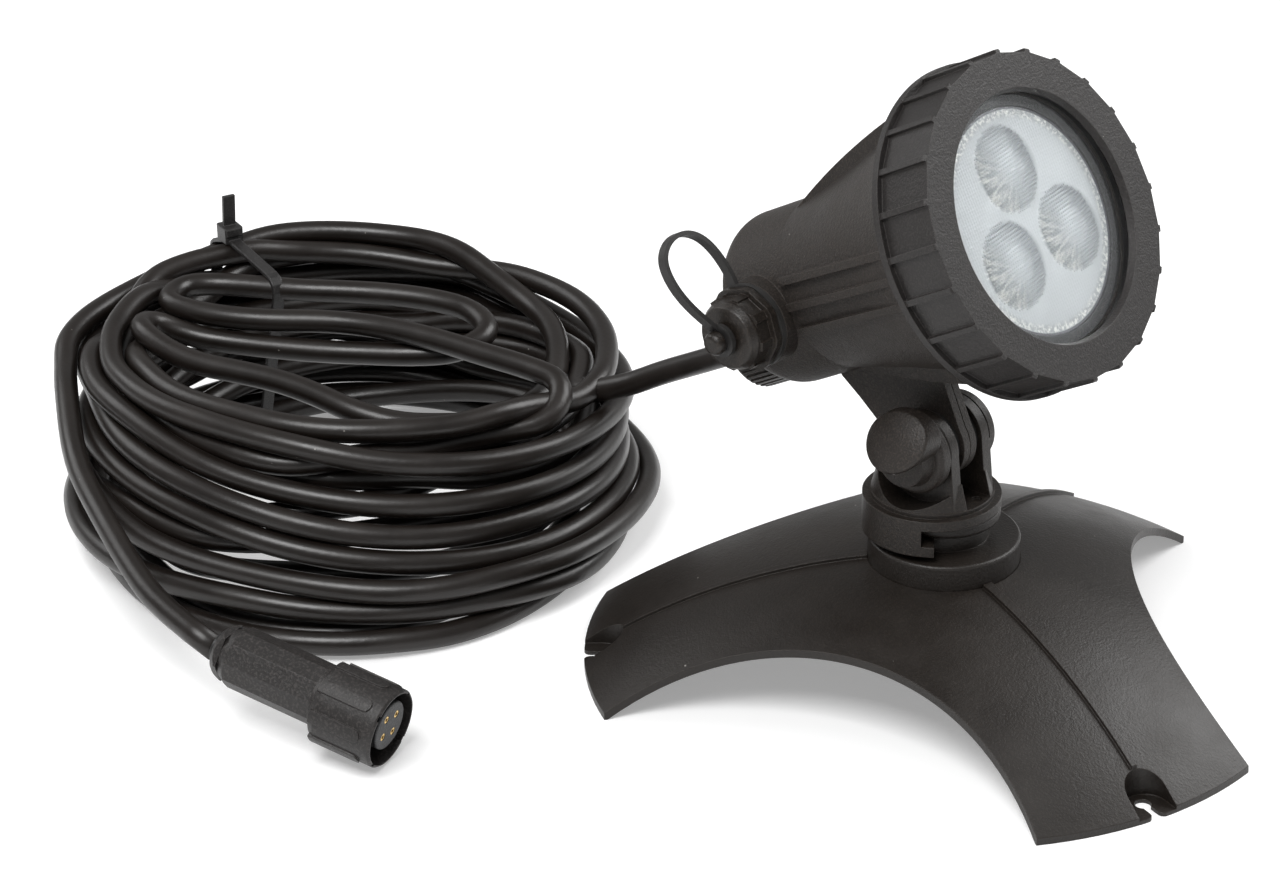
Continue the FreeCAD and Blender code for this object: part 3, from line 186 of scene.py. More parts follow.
# ---- settings
class PondCableSettings(bpy.types.PropertyGroup):
    """Sizes and colour of the cable and its tie."""

    diameter: bpy.props.FloatProperty(
        name="Cable diameter", description="Outside diameter of the round cable", default=6.3 * MM,
        min=4 * MM, max=8 * MM, unit="LENGTH", subtype="DISTANCE")
    sides: bpy.props.IntProperty(
        name="Sides", description="Faces round the cable's section", default=14, min=8, max=32)
    colour: bpy.props.FloatVectorProperty(
        name="Jacket colour", description="Colour of the cable's jacket",
        default=(0.0090, 0.0064, 0.0050), size=3, min=0.0, max=1.0, subtype="COLOR")
    strap_width: bpy.props.FloatProperty(
        name="Tie width", description="Width of the cable tie's strap", default=3.6 * MM,
        unit="LENGTH", subtype="DISTANCE")
    strap_thickness: bpy.props.FloatProperty(
        name="Tie thickness", description="Thickness of the cable tie's strap", default=1.1 * MM,
        unit="LENGTH", subtype="DISTANCE")


class PondBodySettings(bpy.types.PropertyGroup):
    """Colours and surface grain of the moulded pieces."""

    foot_colour: bpy.props.FloatVectorProperty(
        name="Foot colour", description="Colour of the foot and swivel",
        default=(0.0112, 0.0086, 0.0068), size=3, min=0.0, max=1.0, subtype="COLOR")
    lamp_colour: bpy.props.FloatVectorProperty(
        name="Lamp colour", description="Colour of the lamp body, lens ring and knob",
        default=(0.0150, 0.0118, 0.0098), size=3, min=0.0, max=1.0, subtype="COLOR")
    plug_colour: bpy.props.FloatVectorProperty(
        name="Connector colour", description="Colour of the connector",
        default=(0.0150, 0.0132, 0.0125), size=3, min=0.0, max=1.0, subtype="COLOR")
    grain: bpy.props.FloatProperty(
        name="Grain", description="Bumps of the eroded mould texture in one metre", default=2100.0,
        min=200.0, max=8000.0)


class PondLensSettings(bpy.types.PropertyGroup):
    """Sizes of the optic behind the glass."""

    facet_pitch: bpy.props.FloatProperty(
        name="Facet pitch", description="Distance between the small facets on each lens", default=0.85 * MM,
        unit="LENGTH", subtype="DISTANCE")
    facet_height: bpy.props.FloatProperty(
        name="Facet height", description="Height of one small facet", default=0.22 * MM,
        unit="LENGTH", subtype="DISTANCE")
    seed: bpy.props.IntProperty(
        name="Seed", description="Seed of the facets' small tilts", default=4, min=0)


class PondStageSettings(bpy.types.PropertyGroup):
    """The floor, lamps and camera round the object."""

    key_power: bpy.props.FloatProperty(
        name="Key lamp", description="Power of the lamp above", default=12.0, min=0.0, subtype="POWER")
    rear_power: bpy.props.FloatProperty(
        name="Rear lamp", description="Power of the lamp behind", default=4.0, min=0.0, subtype="POWER")
    side_power: bpy.props.FloatProperty(
        name="Side lamp", description="Power of the lamp on the right", default=9.0, min=0.0,
        subtype="POWER")
    ambient: bpy.props.FloatProperty(
        name="Ambient", description="Strength of the even light all round", default=0.30, min=0.0)
    floor_colour: bpy.props.FloatVectorProperty(
        name="Floor colour", description="Colour of the floor", default=(0.80, 0.80, 0.80),
        size=3, min=0.0, max=1.0, subtype="COLOR")


# ---- shared helpers
def plug(tree, value, socket):
    """Links a node's output to a socket, or sets the socket where the value is plain."""
    if isinstance(value, bpy.types.NodeSocket):
        tree.links.new(value, socket)
    elif socket.type == "RGBA" and len(value) == 3:
        socket.default_value = (*value, 1.0)
    else:
        socket.default_value = value


def node(tree, kind, *inputs, **values):
    """Adds a node; inputs fill its sockets in order, values its settings or its sockets by name."""
    made = tree.nodes.new(kind)
    for name, value in values.items():
        socket = next((s for s in made.inputs if s.name.lower() == name.replace("_", " ")), None)
        if socket is None:
            setattr(made, name, value)
        else:
            plug(tree, value, socket)
    for socket, value in zip(made.inputs, inputs):
        plug(tree, value, socket)
    return made


def new_finish(name, **values):
    """A material with only a principled shader and its output, and the object's coordinates."""
    material = bpy.data.materials.new(name)
    material.use_nodes = True
    tree = material.node_tree
    tree.nodes.clear()
    shader = node(tree, "ShaderNodeBsdfPrincipled", **values)
    node(tree, "ShaderNodeOutputMaterial", surface=shader.outputs[0])
    return material, tree, shader, node(tree, "ShaderNodeTexCoord").outputs["Object"]


def feed(tree, shader, **values):
    """Fills a shader's sockets by name."""
    for name, value in values.items():
        plug(tree, value, shader.inputs[name.replace("_", " ").title()])


def noise(tree, coordinates, scale, detail=3.0, roughness=0.5):
    return node(tree, "ShaderNodeTexNoise", vector=coordinates, scale=scale, detail=detail,
                roughness=roughness).outputs["Fac"]


def ramp(tree, factor, stops):
    """Colour ramp from (position, colour) stops."""
    made = node(tree, "ShaderNodeValToRGB", factor)
    elements = made.color_ramp.elements
    while len(elements) < len(stops):
        elements.new(0.5)
    for element, (position, colour) in zip(elements, stops):
        element.position = position
        element.color = (*colour, 1.0)
    return made.outputs["Color"]


def scaled(tree, factor, low, high, from_low=0.0, from_high=1.0):
    """Carries a span of the factor over to low and high, and holds it beyond them."""
    return node(tree, "ShaderNodeMapRange", factor, from_low, from_high, low, high).outputs["Result"]


def blend_colours(tree, factor, first, second):
    made = node(tree, "ShaderNodeMix", data_type="RGBA")
    for number, value in ((0, factor), (6, first), (7, second)):
        plug(tree, value, made.inputs[number])
    return made.outputs[2]


def calculate(tree, operation, *values):
    return node(tree, "ShaderNodeMath", *values, operation=operation).outputs[0]


def product(tree, first, second):
    return calculate(tree, "MULTIPLY", first, second)


def measured(tree, operation, *vectors):
    """The number that vectors give, as a length or a dot product."""
    return node(tree, "ShaderNodeVectorMath", *vectors, operation=operation).outputs["Value"]


def offset_from(tree, place, centre):
    return node(tree, "ShaderNodeVectorMath", place, centre, operation="SUBTRACT").outputs[0]


def bumped(tree, height, strength, distance, **normal):
    """Normal of a surface raised by a height."""
    made = node(tree, "ShaderNodeBump", height=height, strength=strength, distance=distance, **normal)
    return made.outputs[0]


def rays(tree, *kinds):
    """1 for rays of any of these kinds."""
    path = node(tree, "ShaderNodeLightPath")
    total = 0.0
    for kind in kinds:
        total = calculate(tree, "MAXIMUM", total, path.outputs["Is " + kind + " Ray"])
    return total


def dust(tree, coordinates, scale, share):
    """Sparse tiny specks: 1 inside a speck, 0 elsewhere."""
    cells = node(tree, "ShaderNodeTexVoronoi", vector=coordinates, scale=scale, randomness=1.0)
    near = calculate(tree, "LESS_THAN", cells.outputs["Distance"], SPECK_REACH)
    split = node(tree, "ShaderNodeSeparateColor", cells.outputs["Color"])
    rare = calculate(tree, "LESS_THAN", split.outputs[0], share)
    return product(tree, near, rare)


def highlight_edge_mask(tree, rounded):
    """1 where the rounded normal leaves the flat one: the rounded edges, where a highlight is painted."""
    flat = node(tree, "ShaderNodeNewGeometry").outputs["Normal"]
    return scaled(tree, measured(tree, "DOT_PRODUCT", rounded, flat), 1.0, 0.0, 0.80, 0.995)


def lighter(colour, times):
    return tuple(min(1.0, part * times) for part in colour)


# ---- finishes
def moulded_plastic(name, colour, roughness, grain, depth, flecks=0.5):
    """Moulded plastic: eroded grain, cloudy tone, painted highlights along its edges and a few specks of
    dust.
    """
    material, tree, shader, place = new_finish(name, specular_ior_level=0.42)
    cloud = noise(tree, place, 55.0, 5.0, 0.6)
    fine = noise(tree, place, grain, 2.0, 0.6)
    broad = noise(tree, place, grain * 0.4, 2.0)
    tone = ramp(tree, cloud, [(0.3, lighter(colour, 0.85)), (0.72, lighter(colour, 1.2))])
    pitted = scaled(tree, fine, 0.0, 1.0, 0.50, 0.64)
    tone = blend_colours(tree, product(tree, pitted, flecks), tone, lighter(colour, 4.0))
    rounded = node(tree, "ShaderNodeBevel", radius=EDGE_RADIUS, samples=4).outputs[0]
    # painted highlight along the rounded edges
    edge_highlight = product(tree, highlight_edge_mask(tree, rounded), EDGE_HIGHLIGHT)
    tone = blend_colours(tree, edge_highlight, tone, lighter(colour, 6.0))
    speck = product(tree, dust(tree, place, 330.0, PLASTIC_SPECKS), 0.6)
    tone = blend_colours(tree, speck, tone, PLASTIC_DUST)
    height = calculate(tree, "ADD", fine, product(tree, broad, 0.7))
    feed(tree, shader, base_color=tone, normal=bumped(tree, height, 1.0, depth * 1.6, normal=rounded),
         roughness=scaled(tree, cloud, roughness - 0.05, roughness + 0.07, 0.3, 0.7))
    return material


def cable_jacket(name, colour):
    """Extruded flexible jacket: a soft sheen, faint swells over the twisted cores and fine draw lines."""
    material, tree, shader, place = new_finish(name, specular_ior_level=0.5)
    lay = node(tree, "ShaderNodeUVMap", uv_map=JACKET_MAP).outputs[0]
    cloud = noise(tree, place, 70.0, 4.0, 0.6)
    tone = ramp(tree, cloud, [(0.3, lighter(colour, 0.8)), (0.75, lighter(colour, 1.25))])
    speck = product(tree, dust(tree, place, 420.0, JACKET_SPECKS), 0.5)
    tone = blend_colours(tree, speck, tone, JACKET_DUST)
    drawn = node(tree, "ShaderNodeMapping", vector=lay, scale=(22.0, 9.0, 1.0)).outputs[0]
    swell = node(tree, "ShaderNodeTexWave", vector=lay, scale=5.2, distortion=2.5, detail=1.0,
                 bands_direction="DIAGONAL").outputs["Fac"]
    height = calculate(tree, "ADD", product(tree, noise(tree, drawn, 1.0), 0.5), product(tree, swell, 0.10))
    wavy = bumped(tree, height, 0.3, 0.00016)
    feed(tree, shader, base_color=tone, roughness=scaled(tree, cloud, 0.30, 0.42, 0.3, 0.7),
         normal=bumped(tree, noise(tree, place, 3800.0, 2.0), 0.22, 0.00003, normal=wavy))
    return material


def soft_rubber(name, colour, roughness=0.6):
    material, tree, shader, place = new_finish(name)
    cloud = noise(tree, place, 140.0, 4.0, 0.6)
    feed(tree, shader,
         base_color=ramp(tree, cloud, [(0.3, lighter(colour, 0.8)), (0.75, lighter(colour, 1.3))]),
         normal=bumped(tree, noise(tree, place, 2600.0, 2.0), 0.4, 0.00006),
         roughness=scaled(tree, cloud, roughness - 0.05, roughness + 0.08, 0.3, 0.7))
    return material


def turned_metal(name, colour, roughness):
    """Metal with fine turning marks and a little tarnish in patches."""
    material, tree, shader, place = new_finish(name, metallic=1.0)
    patch = noise(tree, place, 420.0, 4.0, 0.6)
    feed(tree, shader, base_color=ramp(tree, patch, [(0.32, lighter(colour, 0.72)), (0.62, colour)]),
         normal=bumped(tree, noise(tree, place, 1800.0), 0.25, 0.00004),
         roughness=scaled(tree, patch, roughness - 0.04, roughness + 0.12, 0.3, 0.7))
    return material


def clear_glass(name):
    """Clear cover glass with the faintest wipe marks in its gloss."""
    material, tree, shader, place = new_finish(name, base_color=(0.96, 0.98, 0.985), ior=1.45,
                                               transmission_weight=1.0)
    smear = noise(tree, place, 60.0, 4.0, 0.6)
    feed(tree, shader, roughness=scaled(tree, smear, 0.02, 0.05, 0.45, 0.75))
    return material


def phosphor(name, colour):
    """Faintly cloudy coating over the emitters."""
    material, tree, shader, place = new_finish(name, ior=1.49)
    cloud = noise(tree, place, 95.0)
    feed(tree, shader, roughness=scaled(tree, cloud, 0.3, 0.36, 0.3, 0.7),
         base_color=ramp(tree, cloud, [(0.3, lighter(colour, 0.95)), (0.7, lighter(colour, 1.03))]))
    return material


def circuit_board(name, colour):
    """Solder mask with thin copper tracks under it."""
    material, tree, shader, place = new_finish(name)
    tracks = node(tree, "ShaderNodeTexBrick", vector=place, scale=160.0, mortar_size=0.03, color1=colour,
                  color2=lighter(colour, 0.8), mortar=lighter(colour, 1.6))
    feed(tree, shader, base_color=tracks.outputs["Color"],
         normal=bumped(tree, tracks.outputs["Fac"], 0.3, 0.00005),
         roughness=scaled(tree, noise(tree, place, 300.0), 0.3, 0.45))
    return material


def polar_parts(tree, flat, centre):
    """Distance, angle and offset from a centre on the optic's plate."""
    offset = offset_from(tree, flat, (*centre, 0.0))
    split = node(tree, "ShaderNodeSeparateXYZ", offset)
    angle = calculate(tree, "ARCTAN2", split.outputs[1], split.outputs[0])
    return measured(tree, "LENGTH", offset), angle, offset


def streaks(tree, parts, around, outwards, low, high):
    """Uneven rays of painted light: a noise drawn long away from the centre."""
    spread = node(tree, "ShaderNodeCombineXYZ", product(tree, parts[1], around),
                  product(tree, parts[0], outwards)).outputs[0]
    return scaled(tree, noise(tree, spread, 1.0, 3.0, 0.6), 0.0, 1.0, low, high)


def lens_finish(settings):
    """Clear moulded optic: a pale plate with painted shade and painted glints on its edge band and painted
    shade on its wall, and lenses painted lit on one side with streaks of painted light, painted shade on the
    other, a painted brighter core and a painted highlight round the rim.
    """
    material, tree, shader, place = new_finish("lens_optic", roughness=0.14, coat_weight=0.6,
                                               coat_roughness=0.05)
    offset = offset_from(tree, place, FACE_CENTRE)
    flat = node(tree, "ShaderNodeCombineXYZ", *[measured(tree, "DOT_PRODUCT", offset, way)
                                                for way in (LAMP_RIGHT, LAMP_UP)]).outputs[0]
    colour = ramp(tree, noise(tree, place, 90.0), list(zip((0.3, 0.7), PLATE_TONES)))
    rim = polar_parts(tree, flat, (0.0, 0.0))
    # painted glints and painted shade on the plate's edge band
    rim_glints = streaks(tree, rim, 26.0, 900.0, 0.45, 0.62)
    edge = product(tree, scaled(tree, rim[0], 0.0, 1.0, *PLATE_EDGE_STARTS),
                   scaled(tree, rim[0], 1.0, 0.0, *PLATE_EDGE_ENDS))
    colour = blend_colours(tree, product(tree, edge, 0.55), colour, EDGE_SHADE)
    colour = blend_colours(tree, product(tree, edge, rim_glints), colour, EDGE_PAINTED_GLINT)
    for k in range(LENSES):
        turn = math.radians(LENS_TURN + 360 / LENSES * k)
        parts = polar_parts(tree, flat, (LENS_CIRCLE * math.cos(turn), LENS_CIRCLE * math.sin(turn)))
        inside = scaled(tree, parts[0], 1.0, 0.0, LENS_RADIUS * 0.88, LENS_RADIUS)
        # painted light and shade: the side towards the lit direction gets painted rays, the far side painted
        # shade
        side = measured(tree, "DOT_PRODUCT", parts[2], tuple(way / LENS_RADIUS for way in LIT_SIDE))
        lit = scaled(tree, side, 0.0, 1.0, 0.12, 0.72)
        shaded = scaled(tree, side, 1.0, 0.0, -0.75, 0.05)
        lens = blend_colours(tree, shaded, LENS_TONE, LENS_SHADE)
        # painted light: each lens's middle painted brighter
        lit_core = scaled(tree, parts[0], 1.0, 0.0, LENS_RADIUS * 0.36, LENS_RADIUS * 0.46)
        lens = blend_colours(tree, product(tree, lit_core, 0.35), lens, LENS_LIT_CORE)
        # painted shade between the painted rays on the lit side
        lens = blend_colours(tree, product(tree, lit, 0.5), lens, LENS_SHADE)
        painted_ray = product(tree, product(tree, lit, streaks(tree, parts, 7.0, 260.0, 0.40, 0.60)), 0.95)
        lens = blend_colours(tree, painted_ray, lens, LENS_PAINTED_RAY)
        # painted highlight round the rim, stronger on the lit side
        rim_highlight = product(tree, scaled(tree, parts[0], 0.0, 1.0, LENS_RADIUS * 0.86, LENS_RADIUS * 0.95),
                      scaled(tree, side, 0.15, 0.9, -0.6, 0.6))
        lens = blend_colours(tree, product(tree, rim_highlight, 0.55), lens, LENS_RIM_HIGHLIGHT)
        colour = blend_colours(tree, inside, colour, lens)
    # the plate's outer wall painted dark as shade
    wall = scaled(tree, rim[0], 0.0, 1.0, *PLATE_WALL)
    cells = node(tree, "ShaderNodeTexVoronoi", vector=flat, scale=1.0 / settings.facet_pitch, randomness=0.25)
    feed(tree, shader, base_color=blend_colours(tree, wall, colour, WALL_SHADE),
         normal=bumped(tree, cells.outputs["Distance"], 0.35, 0.0002))
    return material


# ---- small facets on the lenses
def facet_nodes():
    """Node group: small six-sided facets in rows over three round domes set on a circle."""
    group = bpy.data.node_groups.new("lens_facets", "GeometryNodeTree")
    face = group.interface
    face.new_socket("Geometry", in_out="INPUT", socket_type="NodeSocketGeometry")
    for name, kind, value in (("Pitch", "Float", 0.85), ("Facet height", "Float", 0.22),
                              ("Lens radius", "Float", LENS_RADIUS / MM),
                              ("Dome radius", "Float", DOME_RADIUS / MM), ("Dome height", "Float", LENS_DOME),
                              ("Circle", "Float", LENS_CIRCLE / MM), ("Rows", "Int", FACET_ROWS),
                              ("Seed", "Int", 4)):
        face.new_socket(name, in_out="INPUT", socket_type="NodeSocket" + kind).default_value = value
    face.new_socket("Material", in_out="INPUT", socket_type="NodeSocketMaterial")
    face.new_socket("Geometry", in_out="OUTPUT", socket_type="NodeSocketGeometry")
    given = node(group, "NodeGroupInput").outputs
    rows, pitch = given["Rows"], given["Pitch"]

    width = product(group, pitch, calculate(group, "SUBTRACT", rows, 1.0))
    grid = node(group, "GeometryNodeMeshGrid", size_x=width, size_y=product(group, width, 0.866),
                vertices_x=rows, vertices_y=rows)
    index = node(group, "GeometryNodeInputIndex").outputs[0]
    column = calculate(group, "FLOOR", calculate(group, "DIVIDE", index, rows))
    shift = product(group, calculate(group, "MODULO", column, 2.0), product(group, pitch, 0.433))
    stagger = node(group, "GeometryNodeSetPosition", geometry=grid.outputs["Mesh"],
                   offset=node(group, "ShaderNodeCombineXYZ", y=shift).outputs[0])

    reach = measured(group, "LENGTH", node(group, "GeometryNodeInputPosition").outputs[0])
    beyond = calculate(group, "GREATER_THAN", reach, product(group, given["Lens radius"], 0.94))
    trim = node(group, "GeometryNodeDeleteGeometry", geometry=stagger.outputs[0], selection=beyond)
    share = calculate(group, "DIVIDE", reach, given["Dome radius"])
    rise = calculate(group, "MAXIMUM", 0.0, calculate(group, "SUBTRACT", 1.0, product(group, share, share)))
    lift = node(group, "ShaderNodeCombineXYZ", z=product(group, given["Dome height"], rise))
    raised = node(group, "GeometryNodeSetPosition", geometry=trim.outputs[0], offset=lift.outputs[0])

    facet = node(group, "GeometryNodeMeshCone", vertices=6, radius_bottom=product(group, pitch, 0.53),
                 radius_top=product(group, pitch, 0.16), depth=given["Facet height"])
    tilt = node(group, "FunctionNodeRandomValue", (-0.05, -0.05, 0.0), (0.05, 0.05, 0.2),
                data_type="FLOAT_VECTOR", seed=given["Seed"])
    place = node(group, "GeometryNodeInstanceOnPoints", points=raised.outputs[0],
                 instance=facet.outputs["Mesh"], rotation=tilt.outputs[0])
    one_lens = node(group, "GeometryNodeRealizeInstances", place.outputs[0])
    circle = node(group, "GeometryNodeMeshCircle", vertices=LENSES, radius=given["Circle"])
    lenses = node(group, "GeometryNodeInstanceOnPoints", points=circle.outputs[0],
                  instance=one_lens.outputs[0])
    realised = node(group, "GeometryNodeRealizeInstances", lenses.outputs[0])
    painted = node(group, "GeometryNodeSetMaterial", geometry=realised.outputs[0],
                   material=given["Material"])
    node(group, "NodeGroupOutput", painted.outputs[0])
    return group


def grown(name, group, values, material):
    """Runs a node group on an empty mesh and keeps what it makes as a plain mesh."""
    holder = bpy.data.objects.new(name, bpy.data.meshes.new(name))
    bpy.context.scene.collection.objects.link(holder)
    modifier = holder.modifiers.new("grow", "NODES")
    modifier.node_group = group
    values = {**values, "Material": material}
    for item in group.interface.items_tree:
        if item.in_out == "INPUT" and item.name in values:
            modifier[item.identifier] = values[item.name]
    holder.update_tag()
    graph = bpy.context.evaluated_depsgraph_get()
    data = bpy.data.meshes.new_from_object(holder.evaluated_get(graph))
    bpy.data.objects.remove(holder)
    if not data.vertices:
        raise RuntimeError(name + " is empty")
    data.name = name
    data.materials.clear()
    data.materials.append(material)
    made = bpy.data.objects.new(name, data)
    bpy.context.scene.collection.objects.link(made)
    return made


# ---- pieces of mesh
def dress(material, *names):
    """Gives kept solids their finish."""
    for name in names:
        data = frame["nodes"][name].data
        data.materials.clear()
        data.materials.append(material)


def add_piece(name, vertices, faces, material, smooth=True):
    """A mesh object at the origin with its place in its mesh."""
    data = bpy.data.meshes.new(name)
    data.from_pydata([tuple(v) for v in vertices], [], faces)
    data.materials.append(material)
    data.validate()
    if smooth:
        data.shade_smooth()
    made = bpy.data.objects.new(name, data)
    bpy.context.scene.collection.objects.link(made)
    return made


def recalculate(piece):
    """Faces point outwards."""
    mesh = bmesh.new()
    mesh.from_mesh(piece.data)
    bmesh.ops.recalc_face_normals(mesh, faces=mesh.faces)
    mesh.to_mesh(piece.data)
    mesh.free()


def hull(points):
    """Outline of a set of points, anticlockwise."""
    points = sorted(set(points))

    def half(ordered):
        chain = []
        for p in ordered:
            while len(chain) > 1 and ((chain[-1][0] - chain[-2][0]) * (p[1] - chain[-2][1])
                                      - (chain[-1][1] - chain[-2][1]) * (p[0] - chain[-2][0])) <= 0:
                chain.pop()
            chain.append(p)
        return chain[:-1]

    return half(points) + half(points[::-1])


def closed_outline(points, count):
    """Even points round a closed outline."""
    ring = [Vector(p) for p in points]
    spans = [(ring[(k + 1) % len(ring)] - ring[k]).length for k in range(len(ring))]
    total = sum(spans)
    even = []
    k, walked = 0, 0.0
    for n in range(count):
        target = total * n / count
        while walked + spans[k] < target:
            walked += spans[k]
            k += 1
        place = ring[k].lerp(ring[(k + 1) % len(ring)], (target - walked) / max(spans[k], 1e-9))
        even.append((place.x, place.y))
    return even


def smooth_line(name, points, resolution=4):
    """Points of the smooth spline that has these control points."""
    curve = bpy.data.curves.new(name, "CURVE")
    curve.dimensions = "3D"
    spline = curve.splines.new("NURBS")
    spline.points.add(len(points) - 1)
    for spot, point in zip(spline.points, points):
        spot.co = (*point, 1.0)
    spline.order_u = 3
    spline.use_endpoint_u = True
    spline.resolution_u = resolution
    holder = bpy.data.objects.new(name, curve)
    bpy.context.scene.collection.objects.link(holder)
    line = bpy.data.meshes.new_from_object(holder.evaluated_get(bpy.context.evaluated_depsgraph_get()))
    places = [v.co.copy() for v in line.vertices]
    bpy.data.objects.remove(holder)
    bpy.data.curves.remove(curve)
    bpy.data.meshes.remove(line)
    return places


def tube(name, line, radius, sides, material):
    """Closed round tube along a line, with a map of metres along and round it."""
    count = len(line)
    ways = [(line[min(k + 1, count - 1)] - line[max(k - 1, 0)]).normalized() for k in range(count)]
    side = ways[0].cross(Vector((0, 0, 1))).normalized()
    vertices = []
    runs = [0.0]
    for k, (place, way) in enumerate(zip(line, ways)):
        side = (side - way * side.dot(way)).normalized()
        up = way.cross(side)
        if k:
            runs.append(runs[-1] + (place - line[k - 1]).length)
        for n in range(sides):
            angle = 2 * math.pi * n / sides
            vertices.append(place + (side * math.cos(angle) + up * math.sin(angle)) * radius)
    faces = [(a + n, a + (n + 1) % sides, a + sides + (n + 1) % sides, a + sides + n)
             for a in range(0, (count - 1) * sides, sides) for n in range(sides)]
    faces.append(tuple(range(sides - 1, -1, -1)))
    faces.append(tuple(range((count - 1) * sides, count * sides)))
    piece = add_piece(name, vertices, faces, material)
    layer = piece.data.uv_layers.new(name=JACKET_MAP)
    for face in piece.data.polygons:
        for corner in face.loop_indices:
            vertex = piece.data.loops[corner].vertex_index
            ring, spot = divmod(vertex, sides)
            turn = spot / sides
            if len(face.vertices) == 4 and turn == 0 and max(v % sides for v in face.vertices) == sides - 1:
                turn = 1.0
            layer.data[corner].uv = (runs[ring] * JACKET_MAP_RATE, turn)
    return piece


# ---- coil geometry
def coil_oval(height):
    """Centre, half length and half depth of the coil's side at a height."""
    return [float(np.interp(height, COIL_LEVELS, [oval[k] for oval in COIL_OVALS])) for k in range(4)]


def four_way(values, angle):
    """Smooth value at an angle from its values on the right, back, left and front."""
    right, back, left, front = values
    return ((right + back + left + front) / 4 + (right - left) / 2 * math.cos(angle)
            + (back - front) / 2 * math.sin(angle) + (right + left - back - front) / 4 * math.cos(2 * angle))


def waves(parts, angle):
    return sum(size * math.sin(rate * angle + start) for size, rate, start in parts)


def coil_rows(first, last):
    """(angle, height, inset) along the turns; each turn passes to the next one round the back right."""
    last_turn = len(COIL_TURNS) - 1
    count = round((last - first) / (2 * math.pi) * COIL_STATIONS)
    rows = []
    for k in range(count + 1):
        angle = first + (last - first) * k / count
        turn = math.floor(angle / (2 * math.pi))
        share = min(max((angle % (2 * math.pi) - CLIMB_FROM) / CLIMB_OVER, 0.0), 1.0)
        share = share * share * (3 - 2 * share)
        before = COIL_TURNS[min(max(turn - 1, 0), last_turn)]
        after = COIL_TURNS[min(max(turn, 0), last_turn)]
        height, inset = (four_way(before[part], angle) * (1 - share) + four_way(after[part], angle) * share
                         for part in (0, 1))
        height += waves(HEIGHT_WAVES, angle)
        inset += waves(INSET_WAVES, angle)
        rows.append([angle, min(height, COIL_CEILING), inset])
    return rows


def ease(rows, end, wanted):
    """Leads the rows smoothly to a wanted height and inset at one end."""
    missing = [wanted[1] - rows[end][1], wanted[2] - rows[end][2]]
    start = rows[end][0]
    for row in rows:
        away = abs(row[0] - start) / EASE_OVER
        if away < 1:
            weight = (1 - away) ** 2 * (1 + 2 * away)
            row[1] += weight * missing[0]
            row[2] += weight * missing[1]


def on_coil(x, y, height):
    """A point given in the coil's own axes, in the part's axes."""
    return (x * math.cos(COIL_HEADING) - y * math.sin(COIL_HEADING),
            x * math.sin(COIL_HEADING) + y * math.cos(COIL_HEADING), height)


def row_place(row):
    angle, height, inset = row
    x, y, half_length, half_depth = coil_oval(height)
    return on_coil(x + (half_length - CABLE_RADIUS - inset) * math.cos(angle),
                   y + (half_depth - CABLE_RADIUS - inset) * math.sin(angle), height)


def coil_places():
    """The turns below, the hairpins over the opening, and the turn that goes on to the connector."""
    top = 2 * math.pi * (len(COIL_TURNS) - 2)
    below = coil_rows(COIL_FIRST[0], top + FOLD_AFTER)
    above = coil_rows(top + FOLD_UNTIL, top + 2 * math.pi + COIL_LAST[0])
    ease(below, 0, COIL_FIRST)
    ease(above, -1, COIL_LAST)
    lower = [row_place(row) for row in below]
    upper = [row_place(row) for row in above]
    x, y = COIL_OVALS[-1][:2]
    marks = lower[-2:] + [on_coil(x + right, y + back, height) for right, back, height in FOLDS] + upper[:2]
    return np.array(lower + even_steps(marks, COIL_STEP) + upper)


def even_steps(marks, step):
    """Even steps along a smooth line through marks, between the second and the last but one."""
    marks = np.array(marks, float)
    fine = 24
    line = []
    for k in range(1, len(marks) - 2):
        a, b, c, d = marks[k - 1:k + 3]
        for t in np.arange(fine) / fine:
            bend = (a - 2.5 * b + 2 * c - 0.5 * d) + t * (1.5 * (b - c) + (d - a) / 2)
            line.append(b + t * ((c - a) / 2 + t * bend))
    line = np.array(line)
    runs = np.concatenate([[0], np.cumsum(np.linalg.norm(np.diff(line, axis=0), axis=1))])
    spots = np.linspace(0, runs[-1], round(runs[-1] / step) + 1)[1:-1]
    return [tuple(np.interp(spot, runs, line[:, k]) for k in range(3)) for spot in spots]


def settle(places, rounds=200, held=4):
    """Pushes turns that share a place apart until they lie beside and on each other."""
    reach = 2 * CABLE_RADIUS + 0.1
    abreast = 3.4
    pair_reach, pair_apart, pair_rounds = 14.0, 5, 8
    order = np.arange(len(places))
    for step in range(rounds):
        if step % pair_rounds == 0:
            spans = ((places[:, None, :] - places[None, :, :]) ** 2).sum(2)
            one, other = np.where((spans < pair_reach ** 2) & (order[None, :] - order[:, None] > pair_apart))
        way = np.gradient(places, axis=0)
        way /= np.linalg.norm(way, axis=1)[:, None]
        apart = places[other] - places[one]
        along = (apart * way[one]).sum(1)
        side = apart - along[:, None] * way[one]
        gap = np.linalg.norm(side, axis=1)
        near = (np.abs(along) < abreast) & (gap < reach)
        push = (reach - gap[near])[:, None] * side[near] / np.maximum(gap[near], 0.2)[:, None] / 2
        move = np.zeros_like(places)
        shares = np.zeros(len(places))
        np.add.at(move, other[near], push)
        np.add.at(move, one[near], -push)
        np.add.at(shares, other[near], 1)
        np.add.at(shares, one[near], 1)
        move /= np.maximum(shares, 1)[:, None]
        for _ in range(3):
            move[1:-1] = (move[:-2] + 2 * move[1:-1] + move[2:]) / 4
        move[:, 2] += np.maximum(CABLE_RADIUS + 0.05 - (places[:, 2] + move[:, 2]), 0)
        move[:held] = 0
        move[-held:] = 0
        places = places + move
    return places


def cable_points():
    """Control points of the cable from the gland to the connector, in metres."""
    turns = settle(coil_places())[::COIL_STRIDE]
    return [Vector(p) * MM for p in [*LEAD_ROUTE, *turns.tolist(), *TAIL_ROUTE]]


